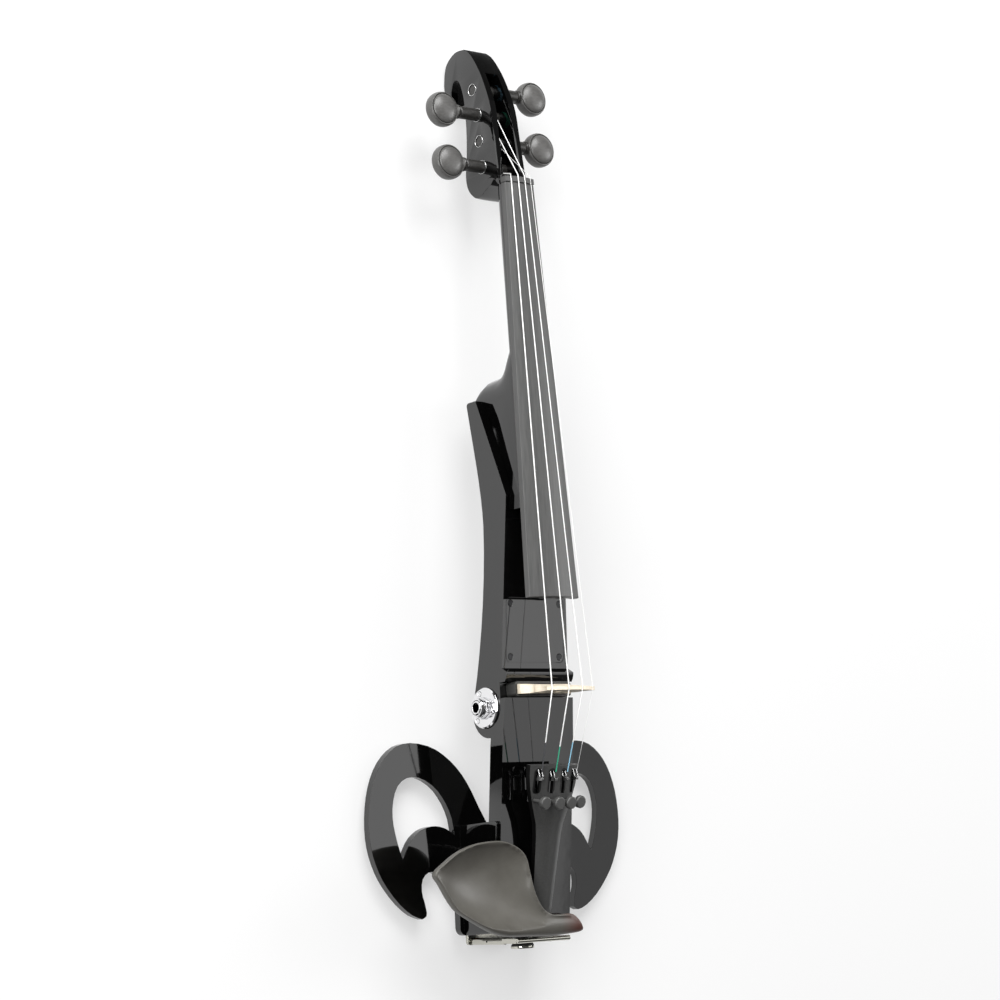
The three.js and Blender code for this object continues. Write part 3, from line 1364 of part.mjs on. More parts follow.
function drawnIn(contour, share, z) {
  return contour.map(([x, y]) => {
    const spot = nearestOnSpine(x, y);
    return [x + (spot.x - x) * share, y + (spot.y - y) * share, z];
  });
}

// A band that follows the slope of the deck between two heights over it
function deckBand(low, high, width) {
  const start = blockFromNut;
  const end = chinTailFromNut;
  return across(polygon([[-start, -lowerDeck(start) + low], [-start, -lowerDeck(start) + high],
    [-end, -lowerDeck(end) + high], [-end, -lowerDeck(end) + low]]), width);
}

function chinrest() {
  const contour = closedCurve(chinShares.map(chinPlace), chinSides);
  const outline = polygon(contour);
  const height = chinBottomDepth - chinRimDepth;
  const rounding = bellyShares.map(([share, rise]) =>
    drawnIn(contour, share, -chinBottomDepth + rise * height));
  const belly = loft([...rounding, drawnIn(contour, 0, 0)]);
  const left = chinReach - chinLength - overrun;
  const right = chinReach + overrun;
  const top = [[right, -chinArmDepth], [-archHalf, -chinRimDepth - gap], [left, -chinRimDepth]];
  const front = polygon([...top, [left, -chinBottomDepth],
    [-chinFootInner, -chinBottomDepth], [-archHalf - overrun, -chinArmBottomDepth],
    [-archHalf, -archDepth], [archHalf, -archDepth], [archHalf + overrun, -chinArmBottomDepth],
    [right, -chinArmBottomDepth]]);
  const reach = 2 * chinWidth;
  const prism = tailward(front, -chinTailFromNut + chinWidth + overrun, reach);
  const plan = upward(outline, -2 * chinBottomDepth, 0);
  const feet = chinFeet.reduce((all, foot) => all.add(
    upward(foot, -chinBottomDepth - chinFootDrop, -chinArmBottomDepth + gap, planSteps)),
  plan.subtract(plan))
    .intersect(plan);
  const cupTop = tailward(polygon([...top, [left, 0], [right, 0]]),
    -chinTailFromNut + chinWidth + overrun, reach);
  const overDeck = deckBand(-chinBottomDepth, corkThickness + 2 * gap, blockWidth + 2 * overrun);
  return belly.intersect(prism).add(feet).subtract(cupTop).subtract(cupHollow())
    .subtract(overDeck).subtract(fromLevel(upperBar(gap)));
}

// Clamp, upright when the instrument lies level
const clampY = wingTail - clampStandOff;
const footTop = wingPlateLow - corkThickness - 2 * gap;
const footBottom = footTop - footThickness;
const barHigh = footTop + clampRise + bracketThickness;

function upperBar(grow) {
  const length = clampStandOff + tabThickness / 2 + overrun / 2;
  return block(bracketWidth + 2 * grow, length + 2 * grow, bracketThickness + 2 * grow,
    0, clampY - tabThickness / 2 + length / 2, barHigh - bracketThickness / 2);
}

function upperBracket() {
  const low = barHigh - bracketThickness - tabLength;
  let bracket = upperBar(0);
  for (const side of [-1, 1]) {
    const x = side * clampSpread / 2;
    const tab = block(tabWidth, tabThickness, tabLength + bracketThickness,
      x, clampY, (low + barHigh) / 2);
    const slit = block(tabWidth / 3, tabThickness + overrun, tabLength / 2, x, clampY,
      low + tabLength / 2);
    const stem = rod(rodRadius, low - rodOverlap, low + rodRadius, spinZ, smallSides)
      .translate([x, clampY, 0]);
    bracket = bracket.add(tab.subtract(slit)).add(stem);
  }
  return bracket;
}

function lowerBracket() {
  const back = clampY - barrelRadius;
  const plate = upward(roundedRect(footWidth, wingTail + footLength - back, overrun,
    0, (wingTail + footLength + back) / 2), footBottom, footTop, cornerSteps);
  return [-1, 1].reduce((whole, side) => whole.add(
    rod(rodRadius, footTop - rodRadius, footTop + rodOverlap, spinZ, smallSides)
      .translate([side * clampSpread / 2, clampY, 0])), plate);
}

function barrel() {
  const low = footTop + gap;
  const high = barHigh - bracketThickness - tabLength - gap;
  const bore = rodRadius + gap;
  const edge = (barrelRadius - bore) / 2;
  const shell = turned([[bore, low], [barrelRadius - edge, low], [barrelRadius, low + edge],
    [barrelRadius, high - edge], [barrelRadius - edge, high], [bore, high], [bore, low]],
  spinZ, smallSides);
  return shell.subtract(rod(tommyRadius, -barrelRadius * 2, barrelRadius * 2, spinX, tinySides)
    .translate([0, 0, (low + high) / 2]));
}

piece(instrument, 'chinrest', chinrest(), moulded);
chinFeet.forEach((foot, i) => {
  const pad = upward(foot, -2 * chinBottomDepth, 0, planSteps)
    .intersect(deckBand(gap, gap + corkThickness, blockWidth));
  piece(instrument, `chinrest_cork_${i ? 'treble' : 'bass'}`, pad, cork);
});
piece(wingGroup, 'clamp_upper_bracket', upperBracket(), chrome);
piece(wingGroup, 'clamp_lower_bracket', lowerBracket(), chrome);
const clampPad = roundedRect(footWidth - 2 * overrun, footLength - overrun, overrun,
  0, wingTail + footLength / 2);
piece(wingGroup, 'clamp_cork', upward(clampPad, footTop + gap, wingPlateLow - gap, cornerSteps), cork);
['bass', 'treble'].forEach((name, i) => {
  piece(wingGroup, `clamp_barrel_${name}`, barrel(), chrome)
    .position.set((i - 1 / 2) * clampSpread, clampY, 0);
});

// The instrument rests on z = 0, centred over the origin
const box = new THREE.Box3().setFromObject(violin, true);
violin.position.set(-(box.min.x + box.max.x) / 2, -(box.min.y + box.max.y) / 2, -box.min.z);

violin.updateMatrixWorld(true);
export default violin;
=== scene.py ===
import json
from math import cos, pi, radians, sin

import bmesh
import bpy
from mathutils import Matrix, Vector


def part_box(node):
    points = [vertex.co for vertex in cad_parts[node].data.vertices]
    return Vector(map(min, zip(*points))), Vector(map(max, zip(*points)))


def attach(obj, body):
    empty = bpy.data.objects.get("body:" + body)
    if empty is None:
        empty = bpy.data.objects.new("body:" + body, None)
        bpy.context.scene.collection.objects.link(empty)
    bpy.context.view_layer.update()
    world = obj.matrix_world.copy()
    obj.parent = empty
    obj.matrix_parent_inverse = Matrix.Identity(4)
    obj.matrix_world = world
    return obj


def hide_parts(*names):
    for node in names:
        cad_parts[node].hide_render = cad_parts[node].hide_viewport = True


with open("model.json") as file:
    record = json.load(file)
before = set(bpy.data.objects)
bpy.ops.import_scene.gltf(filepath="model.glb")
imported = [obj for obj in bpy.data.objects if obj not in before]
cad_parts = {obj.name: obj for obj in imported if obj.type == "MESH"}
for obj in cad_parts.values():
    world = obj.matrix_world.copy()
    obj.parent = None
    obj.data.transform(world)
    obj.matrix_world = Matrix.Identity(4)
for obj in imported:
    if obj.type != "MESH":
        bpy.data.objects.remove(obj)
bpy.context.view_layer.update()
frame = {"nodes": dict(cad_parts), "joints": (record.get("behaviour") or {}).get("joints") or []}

# ---------------------------------------------------------------------------
# Studio: a white table that black lacquer mirrors too, soft boxes over the bass
# side and past the head, a dimmer bank over the treble side that the decks
# mirror, and a low box on the treble side.
# ---------------------------------------------------------------------------
scene = bpy.context.scene
scene.view_settings.view_transform = "Standard"

world = bpy.data.worlds.new("studio")
scene.world = world
world.use_nodes = True
sky = world.node_tree
sky.nodes.clear()
seen = sky.nodes.new("ShaderNodeLightPath")
white = sky.nodes.new("ShaderNodeBackground")
white.inputs["Color"].default_value = (1, 1, 1, 1)
dim = sky.nodes.new("ShaderNodeBackground")
dim.inputs["Color"].default_value = (1, 1, 1, 1)
dim.inputs["Strength"].default_value = 0.09
either = sky.nodes.new("ShaderNodeMixShader")
sky_out = sky.nodes.new("ShaderNodeOutputWorld")
sky.links.new(seen.outputs["Is Camera Ray"], either.inputs[0])
sky.links.new(dim.outputs[0], either.inputs[1])
sky.links.new(white.outputs[0], either.inputs[2])
sky.links.new(either.outputs[0], sky_out.inputs[0])


def graded(tree, source, low, high, start=0.3, stop=0.7):
    """The source mapped evenly onto a range of numbers."""
    ranged = tree.nodes.new("ShaderNodeMapRange")
    ranged.inputs["From Min"].default_value = start
    ranged.inputs["From Max"].default_value = stop
    ranged.inputs["To Min"].default_value = low
    ranged.inputs["To Max"].default_value = high
    tree.links.new(source, ranged.inputs["Value"])
    return ranged.outputs[0]


def reckoned(tree, operation, first, second=0):
    """What a sum comes to, of plain numbers or of the outputs of other nodes."""
    node = tree.nodes.new("ShaderNodeMath")
    node.operation = operation
    for socket, value in zip(node.inputs, (first, second)):
        if isinstance(value, (int, float)):
            socket.default_value = value
        else:
            tree.links.new(value, socket)
    return node.outputs[0]


table_half = 6
table_drop = 0.0002
bm = bmesh.new()
bmesh.ops.create_grid(bm, x_segments=1, y_segments=1, size=table_half)
table_mesh = bpy.data.meshes.new("table")
bm.to_mesh(table_mesh)
bm.free()
table = bpy.data.objects.new("table", table_mesh)
table.location.z = -table_drop
scene.collection.objects.link(table)
table_paint = bpy.data.materials.new("table_paint")
table_paint.use_nodes = True
paint = table_paint.node_tree
matt = paint.nodes["Principled BSDF"]
matt.inputs["Base Color"].default_value = (0.42, 0.42, 0.42, 1)
matt.inputs["Roughness"].default_value = 0.9
matt.inputs["Specular IOR Level"].default_value = 0.1

# The table glows for the eye and in mirrors, but lights nothing, and glows more further out
near_way, far_way = 0.9, 2.6
near_glow, far_glow = 0.5, 0.98
glow = paint.nodes.new("ShaderNodeEmission")
table_spot = paint.nodes.new("ShaderNodeTexCoord")
table_way = paint.nodes.new("ShaderNodeVectorMath")
table_way.operation = "LENGTH"
paint.links.new(table_spot.outputs["Object"], table_way.inputs[0])
brighter_out = graded(paint, table_way.outputs["Value"], near_glow, far_glow, near_way, far_way)
paint.links.new(brighter_out, glow.inputs["Strength"])
no_glow = paint.nodes.new("ShaderNodeEmission")
no_glow.inputs["Strength"].default_value = 0
ray = paint.nodes.new("ShaderNodeLightPath")
eye_or_gloss = reckoned(paint, "MAXIMUM", ray.outputs["Is Camera Ray"],
                        ray.outputs["Is Glossy Ray"])
any_view = reckoned(paint, "MAXIMUM", eye_or_gloss, ray.outputs["Is Transmission Ray"])
lift = paint.nodes.new("ShaderNodeMixShader")
both = paint.nodes.new("ShaderNodeAddShader")
paint.links.new(any_view, lift.inputs[0])
paint.links.new(no_glow.outputs[0], lift.inputs[1])
paint.links.new(glow.outputs[0], lift.inputs[2])
paint.links.new(matt.outputs[0], both.inputs[0])
paint.links.new(lift.outputs[0], both.inputs[1])
paint.links.new(both.outputs[0], paint.nodes["Material Output"].inputs[0])
table_mesh.materials.append(table_paint)


def soft_box(name, place, aim, width, height, watts):
    """A lit rectangle that hangs at a place and faces another."""
    lamp = bpy.data.lights.new(name, "AREA")
    lamp.shape = "RECTANGLE"
    lamp.size = width
    lamp.size_y = height
    lamp.energy = watts
    box = bpy.data.objects.new(name, lamp)
    box.location = place
    towards = Vector(aim) - Vector(place)
    box.rotation_euler = towards.to_track_quat("-Z", "Y").to_euler()
    scene.collection.objects.link(box)


soft_box("bass_side_box", (-1.8, 0.33, 1.21), (0, 0, 0), 1.9, 0.9, 40)
soft_box("head_side_box", (-0.4, 1.7, 1.6), (0, 0, 0), 1.8, 1.4, 58)
soft_box("deck_box", (1.34, 0.52, 2.0), (1.34, 0.52, 0), 0.88, 1.56, 6)
soft_box("tail_box", (1.34, -0.55, 2.0), (1.34, -0.55, 0), 0.88, 0.58, 1.5)
soft_box("wing_box", (2.19, -0.25, 2.0), (2.19, -0.25, 0), 0.82, 1.1, 1.6)
soft_box("treble_low_box", (1.87, 0.22, 1.1), (0, 0, 0), 0.8, 0.8, 12)

# The view of the photograph, solved from the usual lengths of string, board and nut
lens = bpy.data.cameras.new("camera")
lens.lens = 104.783
lens.sensor_width = 36
lens.clip_start = 0.1
camera = bpy.data.objects.new("camera", lens)
camera.location = (-1.205181, -0.226429, 1.450410)
camera.rotation_euler = (radians(8.91198), radians(-39.88394), radians(-3.37300))
scene.collection.objects.link(camera)
scene.camera = camera

# ---------------------------------------------------------------------------
# Lacquered beam: the body, its tail block, the wing plate and the front cover
# are hardwood under many coats of black polyester, rubbed to a mirror.
# ---------------------------------------------------------------------------


def finish(name, colour, roughness, metal=0.0, ior=1.5):
    """A new material, with its nodes and its shader to build a pattern on."""
    material = bpy.data.materials.new(name)
    material.use_nodes = True
    tree = material.node_tree
    shader = tree.nodes["Principled BSDF"]
    shader.inputs["Base Color"].default_value = (*colour, 1)
    shader.inputs["Roughness"].default_value = roughness
    shader.inputs["Metallic"].default_value = metal
    shader.inputs["IOR"].default_value = ior
    return material, tree, shader


def grain(tree, scale, stretch=(1, 1, 1), detail=4):
    """Noise over the piece, in cycles per metre, drawn out along an axis."""
    place = tree.nodes.new("ShaderNodeTexCoord")
    mapping = tree.nodes.new("ShaderNodeMapping")
    mapping.inputs["Scale"].default_value = stretch
    noise = tree.nodes.new("ShaderNodeTexNoise")
    noise.inputs["Scale"].default_value = scale
    noise.inputs["Detail"].default_value = detail
    noise.inputs["Roughness"].default_value = 0.55
    tree.links.new(place.outputs["Object"], mapping.inputs[0])
    tree.links.new(mapping.outputs[0], noise.inputs["Vector"])
    return noise.outputs["Fac"]


def blended(tree, source, first, second, start=0.3, stop=0.7):
    """A colour that goes from first to second as the source rises."""
    ramp = tree.nodes.new("ShaderNodeValToRGB")
    ramp.color_ramp.elements[0].position = start
    ramp.color_ramp.elements[0].color = (*first, 1)
    ramp.color_ramp.elements[1].position = stop
    ramp.color_ramp.elements[1].color = (*second, 1)
    tree.links.new(source, ramp.inputs[0])
    return ramp.outputs[0]


def raised(tree, shader, source, strength, height):
    """The source as fine relief on the surface."""
    bump = tree.nodes.new("ShaderNodeBump")
    bump.inputs["Strength"].default_value = strength
    bump.inputs["Distance"].default_value = height
    tree.links.new(source, bump.inputs["Height"])
    tree.links.new(bump.outputs[0], shader.inputs["Normal"])


lacquer, tree, shader = finish("black_lacquer", (0.001, 0.001, 0.001), 0.05, ior=1.74)
haze = grain(tree, 45, detail=6)
tree.links.new(graded(tree, haze, 0.025, 0.06), shader.inputs["Roughness"])
tree.links.new(blended(tree, haze, (0.0005, 0.0005, 0.0005), (0.0014, 0.0014, 0.0014)),
               shader.inputs["Base Color"])
raised(tree, shader, grain(tree, 180, detail=1), 0.015, 0.0004)

# Points closer than this, m, are one, and faces that turn by less than this, degrees, are flat
same_spot = 2e-6
flat_within = 0.8


def shell_of(node):
    """A joined copy of a node of the frame, whose own mesh is loose triangles."""
    bm = bmesh.new()
    bm.from_mesh(frame["nodes"][node].data)
    bmesh.ops.remove_doubles(bm, verts=bm.verts, dist=same_spot)
    return bm


def break_edges(bm, width, sharp=28, segments=2):
    """Flat faces joined up, and the sharp edges rounded over."""
    bmesh.ops.dissolve_limit(bm, angle_limit=radians(flat_within), verts=bm.verts,
                             edges=bm.edges)
    edges = [e for e in bm.edges if e.is_manifold and e.calc_face_angle() > radians(sharp)]
    bmesh.ops.bevel(bm, geom=edges, offset=width, segments=segments, profile=0.5,
                    affect="EDGES", clamp_overlap=True, loop_slide=True, material=-1)


def make(name, bm, material, body, nodes=(), smooth=32, flat_first=True):
    """The finished piece: shaded, coated, riding on its body and standing for its nodes."""
    mesh = bpy.data.meshes.new(name)
    bm.to_mesh(mesh)
    bm.free()
    mesh.polygons.foreach_set("use_smooth", [True] * len(mesh.polygons))
    mesh.set_sharp_from_angle(angle=radians(smooth))
    mesh.materials.append(material)
    piece = bpy.data.objects.new(name, mesh)
    scene.collection.objects.link(piece)
    if flat_first:
        weigh = piece.modifiers.new("flat faces first", "WEIGHTED_NORMAL")
        weigh.keep_sharp = True
    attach(piece, body)
    if nodes:
        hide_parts(*nodes)
    return piece


def covered(look, node, width, material, body="instrument", segments=3):
    """The shape of a node as it is, with its edges broken, as a finished piece."""
    bm = shell_of(node)
    break_edges(bm, width, segments=segments)
    return make(f"{look}_{node}", bm, material, body, [node])


for node, width in [("body", 0.0009), ("end_block", 0.0009), ("front_cover", 0.0004),
                    ("wing_plate", 0.0006)]:
    covered("lacquered", node, width, lacquer)

# ---------------------------------------------------------------------------
# Neck: one lacquered piece of maple, from the head with its pegbox down to the
# heel; the chin under the head flows into the shaft in a carved hollow.
# ---------------------------------------------------------------------------
# The instrument lies tipped on the table; what is drawn here is drawn level, from the nut
tipped = -3.2
lie = Matrix.Rotation(radians(tipped), 4, "X")
joint_at = {joint["child"]: joint for joint in frame["joints"]}
lowest_peg_at = Vector((0, 0.0155, -0.0242))
nut_place = Vector(joint_at["peg_g"]["pos_m"]) - lie @ lowest_peg_at
as_it_lies = Matrix.Translation(nut_place) @ lie
as_drawn = as_it_lies.inverted()

neck_edge = 0.0011
# The stretch along the neck that is cut finer for carving, its width and its depth
fine_from, fine_to, fine_cell = -0.0132, 0.0108, 0.0012
fine_half, across_cell = 0.0115, 0.0023
fine_bottom, fine_top = -0.045, -0.004
# What is rubbed smooth, which starts under the glue line, and in how many passes
rubbed_along = (fine_from + 0.002, -0.0075, -0.001, fine_to - 0.001)
glue_depth, rubbed_depth = 0.0065, 0.013
rubbing_passes, rubbing_bars, least_rubbed = 5, 8, 0.02
cut_gap = 1e-7
# The hollow under the chin: where it rises and falls, along and down, and how far it goes
hollow_along = (-0.015, -0.013, -0.002, 0.008)
hollow_down = (-0.034, -0.018, -0.013, -0.009)
hollow_reach = 0.0065
# Its rounding off the middle, which fades out upwards
flat_half, round_out, round_reach = 0.005, 0.006, 0.0004
round_from, round_to = -0.02, -0.014

bm = shell_of("neck")
break_edges(bm, neck_edge, segments=3)
bm.transform(as_drawn)


def sliced(bm, axis, low, high, step, within=None):
    """Extra edges where planes across an axis cut the faces, or those within a stretch."""
    normal = Vector([float(i == axis) for i in range(3)])
    for k in range(int(round((high - low) / step)) + 1):
        faces = bm.faces[:]
        if within:
            faces = [f for f in faces
                     if all(within[0] < v.co.y < within[1] for v in f.verts)]
        edges = {e for f in faces for e in f.edges}
        verts = {v for e in edges for v in e.verts}
        bmesh.ops.bisect_plane(bm, geom=faces + list(edges) + list(verts), dist=cut_gap,
                               plane_co=normal * (low + k * step), plane_no=normal)


sliced(bm, 1, fine_from, fine_to, fine_cell)
fine_span = (fine_from - 1e-5, fine_to + 1e-5)
sliced(bm, 0, -fine_half, fine_half, across_cell, fine_span)
sliced(bm, 2, fine_bottom, fine_top, fine_cell, fine_span)


def ramped(value, start, stop):
    """0 before start, 1 after stop, and a smooth rise between."""
    share = min(max((value - start) / (stop - start), 0), 1)
    return share * share * (3 - 2 * share)


def humped(value, rise_from, rise_to, fall_from, fall_to):
    """1 between the rise and the fall, 0 outside them."""
    return ramped(value, rise_from, rise_to) * (1 - ramped(value, fall_from, fall_to))


rubbed = {}
for v in bm.verts:
    share = humped(v.co.y, *rubbed_along) * ramped(-v.co.z, glue_depth, rubbed_depth)
    if share > least_rubbed:
        rubbed[v] = share
for v in bm.verts:
    share = humped(v.co.y, *hollow_along)
    rise = humped(v.co.z, *hollow_down)
    off_middle = ((max(0, abs(v.co.x) - flat_half) / round_out) ** 2
                  * (1 - ramped(v.co.z, round_from, round_to)))
    v.co.y += share * (hollow_reach * rise + round_reach * off_middle)
for turn in range(rubbing_passes):
    bar = (turn + 0.5) / rubbing_bars
    bmesh.ops.smooth_vert(bm, verts=[v for v, share in rubbed.items() if share > bar],
                          factor=0.5, use_axis_x=True, use_axis_y=True, use_axis_z=True)
bm.transform(as_it_lies)
neck = make("lacquered_neck", bm, lacquer, "instrument", ["neck"],
            flat_first=False)

# Painted shade: the end of the head is dull dead black and shows no light,
# standing for the dark that its lacquer would mirror there
dead_black = (0.003, 0.003, 0.003)
dull_painted_shade, tree, shader = finish("dull_painted_shade", dead_black, 0.5, ior=1.08)
tree.links.new(graded(tree, grain(tree, 300), 0.42, 0.58), shader.inputs["Roughness"])
painted_shade_from, painted_shade_facing = 0.255, 0.06
neck.data.materials.append(dull_painted_shade)
for face in neck.data.polygons:
    if face.center.y > painted_shade_from and face.normal.y > painted_shade_facing:
        face.material_index = 1

# ---------------------------------------------------------------------------
# Fingerboard and nut: composite blackened like ebony, scraped along its length
# and left satin, so the light spreads over its crown.
# ---------------------------------------------------------------------------
board, tree, shader = finish("satin_board", (0.085, 0.085, 0.084), 0.42)
scraping = grain(tree, 800, (1, 0.03, 1))
tree.links.new(blended(tree, scraping, (0.072, 0.072, 0.071), (0.098, 0.098, 0.096)),
               shader.inputs["Base Color"])
tree.links.new(graded(tree, scraping, 0.38, 0.47), shader.inputs["Roughness"])
raised(tree, shader, scraping, 0.1, 0.0001)
covered("board", "fingerboard", 0.0007, board)
nut_waist = 0.0014
bm = shell_of("nut")
low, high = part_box("nut")
for v in bm.verts:
    if v.co.y > (low[1] + high[1]) / 2:
        v.co.y -= nut_waist
break_edges(bm, 0.0005, segments=3)
make("board_nut", bm, board, "instrument", ["nut"])

# ---------------------------------------------------------------------------
# Pegs: turned from dense wood, the flat round head domed on both faces with a
# fine groove inside its edge, two beads on the collar, and a tapered stem that
# runs in two thin silver rings let into the cheeks.
# ---------------------------------------------------------------------------
peg_wood, tree, shader = finish("rubbed_peg_wood", (0.08, 0.078, 0.075), 0.36, ior=1.6)
pores = grain(tree, 1400, (0.25, 1, 1))
wood = blended(tree, pores, (0.076, 0.074, 0.071), (0.112, 0.11, 0.106))
stem_dark = blended(tree, grain(tree, 900, detail=5), (0.008, 0.0075, 0.007), (0.042, 0.04, 0.037))


def place_on(tree):
    """Where a point of the piece lies, as outputs X, Y and Z in metres."""
    place = tree.nodes.new("ShaderNodeTexCoord")
    split = tree.nodes.new("ShaderNodeSeparateXYZ")
    tree.links.new(place.outputs["Object"], split.inputs[0])
    return split.outputs


def mixed(tree, share, first, second):
    """A colour between first and second, by a share that is itself a pattern."""
    mix = tree.nodes.new("ShaderNodeMix")
    mix.data_type = "RGBA"
    tree.links.new(share, mix.inputs["Factor"])
    for socket, colour in ((mix.inputs["A"], first), (mix.inputs["B"], second)):
        if isinstance(colour, tuple):
            socket.default_value = (*colour, 1)
        else:
            tree.links.new(colour, socket)
    return mix.outputs["Result"]


# Out from the tip as far as the collar, the peg is much darker than its head
stem_dark_to, head_tone_from = 0.0285, 0.0292
outward = reckoned(tree, "ABSOLUTE", place_on(tree)["X"])
tree.links.new(mixed(tree, graded(tree, outward, 0, 1, stem_dark_to, head_tone_from), stem_dark, wood),
               shader.inputs["Base Color"])
tree.links.new(graded(tree, pores, 0.3, 0.42), shader.inputs["Roughness"])
raised(tree, shader, pores, 0.14, 0.0001)

ferrule_metal, tree, shader = finish("ferrule_silver", (0.82, 0.82, 0.82), 0.2, metal=1.0)
tree.links.new(graded(tree, grain(tree, 1500), 0.16, 0.28), shader.inputs["Roughness"])

# Half of the outline of the head, out from its middle: radius and height, mm
peg_head_half = [(0, 6.6), (2, 6.52), (4, 6.26), (6, 5.76), (7.6, 5.1), (8.8, 4.36),
                 (9.3, 3.94), (9.5, 3.6), (9.54, 2.7), (9.66, 2.5), (9.94, 2.5), (10.04, 2.7),
                 (10.08, 3.3), (10.22, 3.5), (10.56, 3.4), (10.96, 2.9), (11.3, 1.9),
                 (11.44, 0.9), (11.46, 0)]
# The tip, out from its end, and the stem to the head: place along the peg and radius, mm
peg_tip = [(0, 0), (0, 2.9), (0.35, 3.55), (0.7, 3.72)]
peg_stem = [(25.6, 4.1), (26.0, 3.75), (26.3, 3.8), (26.5, 4.35), (26.9, 4.55), (27.3, 4.35),
            (27.5, 3.85), (27.8, 3.85), (28.0, 4.4), (28.5, 4.7), (29.0, 4.4), (29.3, 3.9),
            (30.2, 3.7), (31.4, 3.9), (34, 3.5), (34, 0)]
peg_head_out = 39.8
peg_tip_recess = 0.7
# A ring let into a cheek: place out from the cheek and thickness over its bore, mm
ferrule_lip = 0.3
ferrule = [(-0.5, 0), (0.18, 0), (0.3, 0.1), (0.3, 0.24), (0.16, 0.36), (-0.5, 0.38),
           (-0.5, 0)]
ferrule_tip_bore, ferrule_head_bore = 3.62, 4.22
mm = 0.001
turned_spot = 1e-6


def lathe(bm, profile, axis, steps):
    """A profile of (place along, radius) in mm, turned round the axis x or z into a shell."""
    along = 0 if axis == "x" else 2
    ring = []
    for place, radius in profile:
        spot = [0, radius * mm, 0]
        spot[along] = place * mm
        ring.append(bm.verts.new(spot))
    edges = [bm.edges.new(pair) for pair in zip(ring, ring[1:])]
    turn = Vector([float(i == along) for i in range(3)])
    bmesh.ops.spin(bm, geom=ring + edges, cent=(0, 0, 0), axis=turn, angle=2 * pi, steps=steps,
                   use_merge=True, use_normal_flip=False)


def trued(bm):
    """The turned shells joined up along their axis, facing out."""
    bmesh.ops.remove_doubles(bm, verts=bm.verts, dist=turned_spot)
    bmesh.ops.recalc_face_normals(bm, faces=bm.faces)


for name in "gdae":
    joint = joint_at[f"peg_{name}"]
    low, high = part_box(f"peg_{name}")
    side = joint["axis"][0]
    tip = (high[0] if side < 0 else -low[0]) / mm - peg_tip_recess
    bm = bmesh.new()
    half = [(height, radius) for radius, height in peg_head_half]
    lathe(bm, half[:-1] + [(-height, radius) for height, radius in half[::-1]], "z", 56)
    bmesh.ops.translate(bm, verts=bm.verts, vec=(peg_head_out * mm, 0, 0))
    lathe(bm, [(place - tip, radius) for place, radius in peg_tip] + peg_stem, "x", 36)
    trued(bm)
    set_in = Matrix.Translation(Vector(joint["pos_m"])) @ lie
    turned = Matrix.Rotation(pi, 4, "Y")
    bm.transform(set_in @ turned if side < 0 else set_in)
    make(f"turned_peg_{name}", bm, peg_wood, f"peg_{name}", [f"peg_{name}"],
         smooth=24, flat_first=False)

    # The two thin silver rings that line the hole of this peg in the cheeks
    for cheek in (-1, 1):
        bm = bmesh.new()
        bore = ferrule_tip_bore if cheek * side < 0 else ferrule_head_bore
        lathe(bm, [(place, bore + over) for place, over in ferrule], "x", 40)
        trued(bm)
        out = (tip + peg_tip_recess - ferrule_lip) * mm
        flip = turned if cheek < 0 else Matrix.Identity(4)
        bm.transform(set_in @ flip @ Matrix.Translation((out, 0, 0)))
        make(f"ferrule_{name}_{'treble' if cheek > 0 else 'bass'}", bm, ferrule_metal,
             "instrument", smooth=40)

# ---------------------------------------------------------------------------
# Strings: steel cores wound with bright flat steel, dressed in coloured silk
# where they leave the bridge for the tailpiece and where they wind on the pegs.
# ---------------------------------------------------------------------------
silk_colours = {"g": (0.05, 0.05, 0.055), "d": (0.03, 0.34, 0.2), "a": (0.28, 0.56, 0.74),
                "e": (0.5, 0.5, 0.5)}
silk_from = {"g": -0.1649, "d": -0.1676, "a": -0.165, "e": -0.166}
string_bright, string_metal, string_rough = (0.95, 0.95, 0.94), 0.4, 0.4
silk_rough, silk_dark, silk_light = 0.7, 0.7, 1.2
off_on = (0.4, 0.6)
for name in "gdae":
    wound, tree, shader = finish(f"wound_string_{name}", string_bright, string_rough,
                                 metal=string_metal)
    dressed = reckoned(tree, "LESS_THAN", place_on(tree)["Y"], silk_from[name])
    tree.links.new(blended(tree, dressed, string_bright, silk_colours[name], *off_on),
                   shader.inputs["Base Color"])
    if name != "e":
        tree.links.new(graded(tree, dressed, string_metal, 0, *off_on),
                       shader.inputs["Metallic"])
        tree.links.new(graded(tree, dressed, string_rough, silk_rough, *off_on),
                       shader.inputs["Roughness"])
    raised(tree, shader, grain(tree, 4000, (1, 3, 1), detail=2), 0.2, 0.0001)
    make(f"wound_string_{name}", shell_of(f"string_{name}"), wound, "instrument",
         [f"string_{name}"], smooth=60)
    silk, tree, shader = finish(f"silk_{name}", silk_colours[name], 0.55)
    threads = grain(tree, 2600, (2, 1, 1), detail=2)
    tree.links.new(blended(tree, threads, tuple(silk_dark * c for c in silk_colours[name]),
                           tuple(min(silk_light * c, 1) for c in silk_colours[name])),
                   shader.inputs["Base Color"])
    raised(tree, shader, threads, 0.3, 0.0002)
    make(f"silk_winding_{name}", shell_of(f"winding_{name}"), silk, f"peg_{name}",
         [f"winding_{name}"], smooth=60)

# ---------------------------------------------------------------------------
# Bridge and pickup base: quarter-sawn maple, planed and left pale, whose feet
# stand in a low moulded tray that holds the pickup.
# ---------------------------------------------------------------------------
maple, tree, shader = finish("pale_maple", (0.86, 0.74, 0.56), 0.5)
fleck = grain(tree, 700, (1, 1, 0.12), detail=3)
tree.links.new(blended(tree, fleck, (0.86, 0.74, 0.56), (0.94, 0.86, 0.72)),
               shader.inputs["Base Color"])
tree.links.new(graded(tree, fleck, 0.45, 0.6), shader.inputs["Roughness"])
raised(tree, shader, fleck, 0.1, 0.0001)
covered("maple", "bridge", 0.0003, maple, segments=2)

